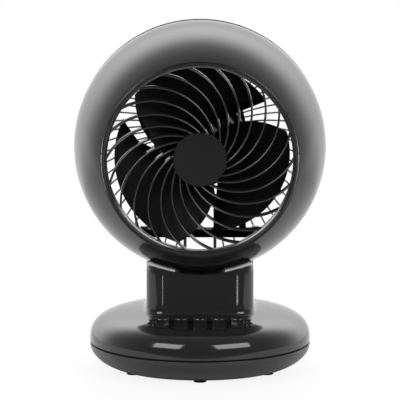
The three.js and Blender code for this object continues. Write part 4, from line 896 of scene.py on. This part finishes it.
def cover_rings(base, n=288):
    """Closed loops over the cover's outside, round its lip, down its throat and back along its inside."""
    turns = [FULL_TURN * i / n for i in range(n)]
    seam = base.seam_z + base.seam_gap / 2
    seam_edge_in, seam_edge_up = 0.0005, 0.0004
    shoulder, inside_shoulder = 0.09, 0.088  # where the rounded side ends and the top starts
    dish = base.dish_gap + BALL_RADIUS
    fillet, lip, lip_fullness = base.neck_fillet, base.lip_radius, 0.9

    def ring(reach, height):
        """Loop whose reach is a function of the angle, and its height one of the angle and the reach."""
        points = []
        for turn in turns:
            radius = reach(turn)
            points.append((*polar(radius, turn), height(turn, radius)))
        return points

    def circle(radius):
        return lambda turn: radius

    def neck(grow):
        return lambda turn: neck_reach(base, turn, grow)

    def level(height):
        return lambda turn, reach: height

    def on_sphere(radius):
        return lambda turn, reach: HEAD_CENTRE.z - math.sqrt(radius**2 - reach**2)

    def on_top(turn, reach):
        return top_height(base, reach)

    def at_foot(turn, reach):
        return top_height(base, foot(turn))

    def raised(height, rise):
        return lambda turn, reach: height(turn, reach) + rise

    def between(first, second, t):
        """A function between two others of the same kind."""
        return lambda *at: lerp(first(*at), second(*at), t)

    def side(radius, end, low, rise, steps):
        """Loops up the rounded side, from the seam to where its radius has shrunk to the end's."""
        steepest = math.acos((end / radius) ** (base.top_across / 2))
        return [ring(circle(radius * math.cos(steepest * t) ** (2 / base.top_across)),
                     level(low + rise * math.sin(steepest * t) ** (2 / base.top_up))) for t in steps]

    def quarter_turn(steps):
        """Shares of the radius on the way round a quarter circle: what is left of it, what is gained."""
        return [(1 - math.sin(t * math.pi / 2), 1 - math.cos(t * math.pi / 2)) for t in parts(steps)[1:]]

    foot, throat, inside_neck = neck(fillet), circle(base.throat_radius), neck(-base.wall)
    dish_top, dish_under, under_top = on_sphere(dish), on_sphere(dish + base.wall), raised(on_top, -base.wall)
    return [
        ring(circle(base.radius - seam_edge_in), level(seam)),
        ring(circle(base.radius), level(seam + seam_edge_up)),
        *side(base.radius, shoulder, seam + seam_edge_up, base.top_rise - seam_edge_up, parts(22)[1:]),
        *(ring(between(circle(shoulder), foot, t), on_top) for t in parts(14)[1:]),
        *(ring(neck(fillet * left), raised(at_foot, fillet * gained)) for left, gained in quarter_turn(9)),
        *(ring(neck(0), between(raised(at_foot, fillet), raised(dish_top, -lip), t)) for t in parts(6)[1:]),
        *(ring(neck(-lip * gained), raised(dish_top, -lip * left * lip_fullness))
          for left, gained in quarter_turn(6)),
        *(ring(between(neck(-lip), throat, t), dish_top) for t in parts(10)[1:]),
        *(ring(between(throat, inside_neck, t), dish_under) for t in parts(8)),
        *(ring(inside_neck, between(dish_under, under_top, t)) for t in parts(3)[1:]),
        *(ring(between(inside_neck, circle(inside_shoulder), t), under_top) for t in parts(5)[1:]),
        *side(base.radius - base.wall, inside_shoulder, seam, base.top_rise - base.wall, parts(8)[::-1]),
    ]


def bank_top(keys, y):
    """Height of the key tops at a distance along Y."""
    return keys.rear_z + keys.slope * (y - keys.rear_y)


def arc_front(radius, x):
    return -math.sqrt(radius**2 - x**2)


def bank_plate(keys, half, rear, low, drop, front):
    """Plate under the keys: its front follows an arc, its top the keys' slope."""
    edge = [(x, arc_front(front, x)) for x in (lerp(-half, half, t) for t in parts(24))]
    outline = [*edge, (half, rear), (-half, rear)]
    return skin([[(x, y, low) for x, y in outline], [(x, y, bank_top(keys, y) - drop) for x, y in outline]])


def make_cover(base, keys, finish):
    cover = mesh_object("base_cover_skin", skin(cover_rings(base), closed=True))
    pocket = keys.bank_half - keys.cheek
    cut_away(cover, bank_plate(keys, half=pocket + 0.001, rear=keys.rear_y + 0.001, low=0.04, drop=-0.02,
                               front=keys.bank_front + 0.0005))
    return finished(cover, finish["gloss_black"], "base", ["base_cover"])


def key_middle(keys, i):
    return (i - (len(KEY_NODES) - 1) / 2) * keys.pitch


def key_front(keys, x):
    """Front end of a key, a millimetre behind the bank's arc."""
    return arc_front(keys.bank_front - 0.001, abs(x) + keys.width / 2)


def cheek(keys, side):
    """Upright at one end of the keys."""
    inner, outer = side * (keys.bank_half - keys.cheek), side * keys.bank_half
    x0, x1 = sorted((inner, outer))
    front, rear, low = arc_front(keys.bank_front, abs(outer)), keys.rear_y + 0.003, 0.05
    outline = [(x0, front), (x1, front), (x1, rear), (x0, rear)]
    return skin([[(x, y, low) for x, y in outline], [(x, y, bank_top(keys, y)) for x, y in outline]])


def make_key_bank(keys, finish):
    pocket, below, above = keys.bank_half - keys.cheek, 0.04, 0.07
    plate = mesh_object("key_bank_floor", bank_plate(keys, half=pocket + 0.0008, rear=keys.rear_y + 0.0012,
                                                     low=0.046, drop=keys.floor_drop, front=keys.bank_front))
    for i in range(len(KEY_NODES)):
        x, half = key_middle(keys, i), keys.width / 2 + KEY_GAP
        low, high = (x - half, key_front(keys, x) - KEY_GAP, below), (x + half, keys.rear_y + KEY_GAP, above)
        cut_away(plate, block(low, high))
    finished(plate, finish["gloss_black"], "base")
    for side, name in ((-1, "left"), (1, "right")):
        piece = mesh_object("key_cheek_" + name, cheek(keys, side))
        round_edges(piece, radius=0.0032, segments=5)
        finished(piece, finish["gloss_black"], "base")


def finger_stop(keys, behind, across):
    """Rise of a key's rear end, which is hollowed in plan; across is -1 and 1 at the key's sides."""
    start = behind - keys.upturn_hollow * across**2
    return keys.upturn * min(1, max(0, 1 - start / keys.upturn_length)) ** 2


def key_form(keys, i):
    """A key with a dished top, rounded at both ends of its length."""
    x, half, crown_rise, bottom = key_middle(keys, i), keys.width / 2, 0.0004, KEY_LOW.z
    crown = [(lerp(half, -half, t), -keys.dish * (1 - (2 * t - 1) ** 2)) for t in parts(14)]
    bend_end = keys.rear_y - keys.upturn_length - keys.upturn_hollow
    rings = []
    for y in [*(lerp(keys.rear_y, bend_end, t) for t in parts(16)),
              *(lerp(bend_end, key_front(keys, x), t) for t in parts(6)[1:])]:
        top, behind = bank_top(keys, y) + crown_rise, keys.rear_y - y
        rings.append([(x - half, y, bottom), (x + half, y, bottom),
                      *((x + dx, y, top + dz + finger_stop(keys, behind, dx / half)) for dx, dz in crown)])
    return skin(rings)


def make_keys(keys, finish):
    for i, node in enumerate(KEY_NODES):
        piece = mesh_object(node + "_skin", key_form(keys, i))
        round_edges(piece, keys.edge_radius, math.radians(50), segments=3)
        finished(piece, finish["gloss_black"], node, [node])


def make_bottom(base, finish):
    seam = base.seam_z - base.seam_gap / 2
    flat = (base.seam_z - base.foot_proud) / base.fall
    reach = math.asin(flat ** (base.fall_up / 2))

    def side(inset, n):
        points = []
        for lean in (reach * t for t in parts(n)):
            radius = (base.radius - inset) * math.cos(lean) ** (2 / base.fall_across)
            drop = (base.fall - inset) * math.sin(lean) ** (2 / base.fall_up)
            points.append((radius, max(seam - drop, base.foot_proud + inset)))
        return points

    floor = base.foot_proud + base.wall
    tongue = base.radius - base.wall - 0.0008
    tongue_inner, tongue_low, tongue_high = tongue - 0.0022, base.seam_z - 0.003, base.seam_z + 0.004
    outline = [*side(0, 26), (0, base.foot_proud), (0, floor), *side(base.wall, 12)[::-1],
               (tongue_inner, tongue_low), (tongue_inner, tongue_high), (tongue, tongue_high), (tongue, seam)]
    bottom = mesh_object("base_bottom_skin", lathe(softened(outline, radius=0.0004, n=3), "Z", 256))
    recess = lathe(rod(radius=0.0043, start=-0.01, end=0.0044), "Z", 32)
    for node in CASE_SCREW_NODES:
        x, y, _ = middle_of(*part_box(node))
        cut_away(bottom, moved(recess, Matrix.Translation((x, y, 0))))
    hole = lathe(rod(radius=0.0063, start=0.07, end=0.13), "Y", 48)
    _, _, z = middle_of(*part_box("cord_bush"))
    cut_away(bottom, moved(hole, Matrix.Translation((0, 0, z))))
    return finished(bottom, finish["satin_black"], "base", ["base_bottom"])


def make_feet(base, finish):
    radius, height = (FOOT_HIGH.x - FOOT_LOW.x) / 2, base.foot_proud
    pad = lathe(softened(rod(radius, 0, height), radius=0.0007), "Z", 48)
    for node in FOOT_NODES:
        x, y, _ = middle_of(*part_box(node))
        foot = mesh_object(node + "_pad", moved(pad, Matrix.Translation((x, y, 0))))
        finished(foot, finish["rubber"], "base", [node])


# ---- stage ----


# azimuth, width, share of the power
SOFTBOXES = {"softbox_left": (-36, 0.75, 1), "softbox_right": (36, 0.95, 1.2)}
SOFTBOX_HEIGHT, SOFTBOX_ELEVATION, SOFTBOX_DISTANCE = 0.58, 27, 1.5
GLINT_AZIMUTHS, GLINT_ELEVATION, GLINT_WIDTH = (-12, 9, 14), -11.8, 3  # degrees
LAMP_AIM = Vector((0, 0, 0.1))

# brightness of the white surroundings, from the camera's side (-1) to behind the fan (1)
LIGHT_BESIDE = [(-1, 0.12), (-0.3, 0.2), (0, 0.45), (0.29, 0.8), (0.47, 1.4), (0.6, 1.9), (0.7, 2),
                (0.8, 1.75), (0.9, 1.3), (1, 1)]
LIGHT_ABOVE = [(-1, 0.12), (-0.3, 0.3), (0, 0.6), (0.25, 1.45), (0.4, 3), (0.55, 4.7), (0.7, 3.9),
               (0.8, 2.6), (0.9, 1.4), (1, 1)]
LIGHT_SCALE = 5  # a colour ramp holds values up to 1
LIGHT_TOP = 0.8  # height of a direction from which it is lit as above
FADE_SLOPE, FADE_START, FADE_END = 3.3, 2.2, 1  # the light's limit falls to its end under the horizon
FLOOR_SEEN_WHITE = 0.88  # share of plain white in what the camera sees of the floor


def make_camera(studio):
    data = bpy.data.cameras.new("camera")
    data.lens = data.sensor_width * studio.camera_distance / studio.picture_width
    back = Vector((0, -math.cos(studio.camera_elevation), math.sin(studio.camera_elevation)))
    camera = placed("camera", data)
    camera.location = Vector((0, 0, studio.camera_height)) + back * studio.camera_distance
    camera.rotation_euler = back.to_track_quat("Z", "Y").to_euler()
    bpy.context.scene.camera = camera


def hang_lamp(data, azimuth, elevation, distance):
    """Hangs a lamp on a sphere round the fan, aimed at it; azimuth 0 is in front, 90 on the right."""
    lamp = placed(data.name, data)
    a, e = math.radians(azimuth), math.radians(elevation)
    out = Vector((math.sin(a) * math.cos(e), -math.cos(a) * math.cos(e), math.sin(e)))
    lamp.location = LAMP_AIM + out * distance
    lamp.rotation_euler = out.to_track_quat("Z", "Y").to_euler()
    lamp.visible_camera = False


def make_softbox(name, azimuth, width, power):
    data = bpy.data.lights.new(name, "AREA")
    data.shape = "RECTANGLE"
    data.size, data.size_y = width, SOFTBOX_HEIGHT
    data.energy = power
    hang_lamp(data, azimuth, SOFTBOX_ELEVATION, SOFTBOX_DISTANCE)


def make_glint(azimuth, strength):
    """Narrow light from just under the floor's front edge, which only upright gloss faces mirror."""
    data = bpy.data.lights.new(f"glint_{azimuth}", "SUN")
    data.angle = math.radians(GLINT_WIDTH)
    data.energy = strength
    hang_lamp(data, azimuth, GLINT_ELEVATION, 1)


def light_ramp(tree, place, light):
    """Brightness along the camera's direction; the first and last levels stand at its ends."""
    ramp = tree.nodes.new("ShaderNodeValToRGB")
    ramp.color_ramp.interpolation = "B_SPLINE"
    stops = ramp.color_ramp.elements
    for along, _ in light[1:-1]:
        stops.new((along + 1) / 2)
    for stop, (_, level) in zip(stops, light):
        stop.color = (*(level / LIGHT_SCALE,) * 3, 1)
    tree.links.new(place, ramp.inputs["Fac"])
    return ramp.outputs["Color"]


def white(tree, strength):
    return shader_node(tree, "Background", "Background", {"Color": (1, 1, 1, 1), "Strength": strength})


def blended(tree, share, first, second):
    """Two shaders, the second with the share."""
    return shader_node(tree, "MixShader", "Shader", {"Fac": share, 1: first, 2: second})


def make_world(studio):
    """White for the camera; for everything else bright behind, beside and above the fan and dark in front."""
    world = bpy.data.worlds.new("studio")
    bpy.context.scene.world = world
    world.use_nodes = True
    tree = world.node_tree
    tree.nodes.clear()
    place = shader_node(tree, "TexCoord", "Generated")
    height = shader_node(tree, "SeparateXYZ", "Z", {"Vector": place})
    ahead = (0, math.cos(studio.camera_elevation), -math.sin(studio.camera_elevation))
    along = shader_node(tree, "VectorMath", "Value", {0: place, 1: ahead}, operation="DOT_PRODUCT")
    depth = calculated(tree, "MULTIPLY_ADD", along, 0.5, 0.5)
    levels = shader_node(tree, "Mix", "Result", {"Factor": calculated(tree, "DIVIDE", height, LIGHT_TOP),
                                                 "A": light_ramp(tree, depth, LIGHT_BESIDE),
                                                 "B": light_ramp(tree, depth, LIGHT_ABOVE)})
    level = calculated(tree, "MULTIPLY", levels, LIGHT_SCALE)
    fading = calculated(tree, "MULTIPLY_ADD", height, FADE_SLOPE, FADE_START)
    limit = calculated(tree, "MAXIMUM", fading, FADE_END)
    surface = blended(tree, shader_node(tree, "LightPath", "Is Camera Ray"),
                      white(tree, calculated(tree, "MINIMUM", level, limit)), white(tree, 1))
    tree.links.new(surface, tree.nodes.new("ShaderNodeOutputWorld").inputs["Surface"])


def floor_material(tone):
    """Pale floor that the camera sees as the white background, less the fan's shadow."""
    material, tree, shader = new_material("pale_floor")
    shader.inputs["Roughness"].default_value = 0.6
    shader.inputs["Specular IOR Level"].default_value = 0.2
    tinted(tree, shader, TONE_SCALES["floor"], tone, FLOOR_VARIETY)
    share = calculated(tree, "MULTIPLY", shader_node(tree, "LightPath", "Is Camera Ray"), FLOOR_SEEN_WHITE)
    glow = shader_node(tree, "Emission", "Emission", {"Strength": 1})
    surface = blended(tree, share, shader.outputs["BSDF"], glow)
    tree.links.new(surface, tree.nodes["Material Output"].inputs["Surface"])
    return material


def make_floor(studio):
    """Disc round the fan, cut off straight in front."""
    radius, front = studio.floor_radius, studio.floor_front
    start = math.atan2(front, math.sqrt(radius**2 - front**2))
    edge = arc(radius, start, math.pi - start, 96)
    mesh = bpy.data.meshes.new("floor")
    mesh.from_pydata([(p.x, p.y, 0) for p in edge], [], [list(range(len(edge)))])
    mesh.materials.append(floor_material(studio.floor_colour))
    floor = placed("floor", mesh)


# ---- operators ----


class FAN_OT_stage(Operator):
    """Makes the camera, the lamps, the white surroundings and the pale floor."""

    bl_idname = "fan.stage"
    bl_label = "Stage"

    def execute(self, context):
        studio = context.scene.fan_studio
        make_camera(studio)
        make_world(studio)
        make_floor(studio)
        for name, (azimuth, width, share) in SOFTBOXES.items():
            make_softbox(name, azimuth, width, studio.softbox_power * share)
        for azimuth in GLINT_AZIMUTHS:
            make_glint(azimuth, studio.glint_strength)
        context.scene.view_settings.view_transform = "Standard"
        return {"FINISHED"}


class FAN_OT_front_shell(Operator):
    """Makes the front half of the ball."""

    bl_idname = "fan.front_shell"
    bl_label = "Front shell"

    def execute(self, context):
        make_front_shell(context.scene.fan_head, finishes())
        return {"FINISHED"}


class FAN_OT_rear_grille(Operator):
    """Makes the ribbed rear half of the ball."""

    bl_idname = "fan.rear_grille"
    bl_label = "Rear grille"

    def execute(self, context):
        make_rear_grille(context.scene.fan_head, finishes())
        return {"FINISHED"}


class FAN_OT_front_grille(Operator):
    """Makes the ring with its spiral vanes, and the hub cap."""

    bl_idname = "fan.front_grille"
    bl_label = "Front grille"

    def execute(self, context):
        grille, finish = context.scene.fan_grille, finishes()
        make_front_grille(context.scene.fan_head, grille, finish)
        make_hub_cap(grille, finish)
        return {"FINISHED"}


class FAN_OT_impeller(Operator):
    """Makes the impeller with its nut and shaft."""

    bl_idname = "fan.impeller"
    bl_label = "Impeller"

    def execute(self, context):
        finish = finishes()
        make_impeller(context.scene.fan_impeller, finish)
        dressed("impeller_nut", finish["matt_black"], "impeller")
        dressed("motor_shaft", finish["steel"], "impeller")
        return {"FINISHED"}


class FAN_OT_motor(Operator):
    """Makes the motor's two cases and its bracket."""

    bl_idname = "fan.motor"
    bl_label = "Motor"

    def execute(self, context):
        finish = finishes()
        make_motor(finish)
        dressed("motor_bracket", finish["matt_black"], "head", radius=0.0008)
        for node in ("bracket_screw_left", "bracket_screw_right"):
            dressed(node, finish["steel"], "head")
        return {"FINISHED"}


class FAN_OT_turret(Operator):
    """Finishes the turret that the head swings and tilts on."""

    bl_idname = "fan.turret"
    bl_label = "Turret"

    def execute(self, context):
        finish = finishes()
        dressed("turret", finish["matt_black"], "turret")
        dressed("tilt_clamp", finish["grey_plastic"], "turret")
        for node in ("clamp_washer", "clamp_screw", "clamp_nut"):
            dressed(node, finish["steel"], "turret", radius=0.0002)
        repainted("sector_gear", finish["white_plastic"])
        return {"FINISHED"}


class FAN_OT_base(Operator):
    """Makes the base's cover, bottom, feet and cord bush."""

    bl_idname = "fan.base"
    bl_label = "Base"

    def execute(self, context):
        base, finish = context.scene.fan_base, finishes()
        make_cover(base, context.scene.fan_keys, finish)
        make_bottom(base, finish)
        make_feet(base, finish)
        dressed("cord_bush", finish["rubber"], "base")
        for node in CASE_SCREW_NODES:
            dressed(node, finish["steel"], "base")
        return {"FINISHED"}


class FAN_OT_keys(Operator):
    """Makes the push keys and the bank round them."""

    bl_idname = "fan.keys"
    bl_label = "Keys"

    def execute(self, context):
        keys, finish = context.scene.fan_keys, finishes()
        make_key_bank(keys, finish)
        make_keys(keys, finish)
        return {"FINISHED"}


class FAN_OT_inner_parts(Operator):
    """Gives the pieces inside the fan their finishes."""

    bl_idname = "fan.inner_parts"
    bl_label = "Inner parts"

    def execute(self, context):
        finish = finishes()
        inner = {
            "steel": ["stator", "rotor", "swing_motor", "swing_screw_left", "swing_screw_right"],
            "bronze": ["motor_bearing_front", "motor_bearing_rear"],
            "white_plastic": ["thrust_washer", "swing_pinion"],
            "dark_steel": ["ballast"],
            "matt_black": ["switch_body"],
            "grey_plastic": ["capacitor"],
        }
        for name, nodes in inner.items():
            for node in nodes:
                repainted(node, finish[name])
        return {"FINISHED"}


STEPS = [FAN_OT_stage, FAN_OT_front_shell, FAN_OT_rear_grille, FAN_OT_front_grille, FAN_OT_impeller,
         FAN_OT_motor, FAN_OT_turret, FAN_OT_base, FAN_OT_keys, FAN_OT_inner_parts]


class FAN_PT_panel(Panel):
    """Lists the fan's pieces and their sizes."""

    bl_idname = "FAN_PT_panel"
    bl_label = "Desk Air Circulator"
    bl_space_type = "VIEW_3D"
    bl_region_type = "UI"
    bl_category = "Fan"

    def draw(self, context):
        layout = self.layout
        for step in STEPS:
            layout.operator(step.bl_idname)
        for name, group in SETTINGS.items():
            box = layout.box()
            box.label(text=group.__doc__)
            settings = getattr(context.scene, name)
            for field in group.__annotations__:
                box.prop(settings, field)


CLASSES = [*SETTINGS.values(), *STEPS, FAN_PT_panel]


def register():
    for each in CLASSES:
        bpy.utils.register_class(each)
    for name, group in SETTINGS.items():
        setattr(bpy.types.Scene, name, PointerProperty(type=group))


def unregister():
    for name in SETTINGS:
        delattr(bpy.types.Scene, name)
    for each in reversed(CLASSES):
        bpy.utils.unregister_class(each)


def main():
    register()
    for step in STEPS:
        group, name = step.bl_idname.split(".")
        getattr(getattr(bpy.ops, group), name)()


if __name__ == "__main__":
    main()
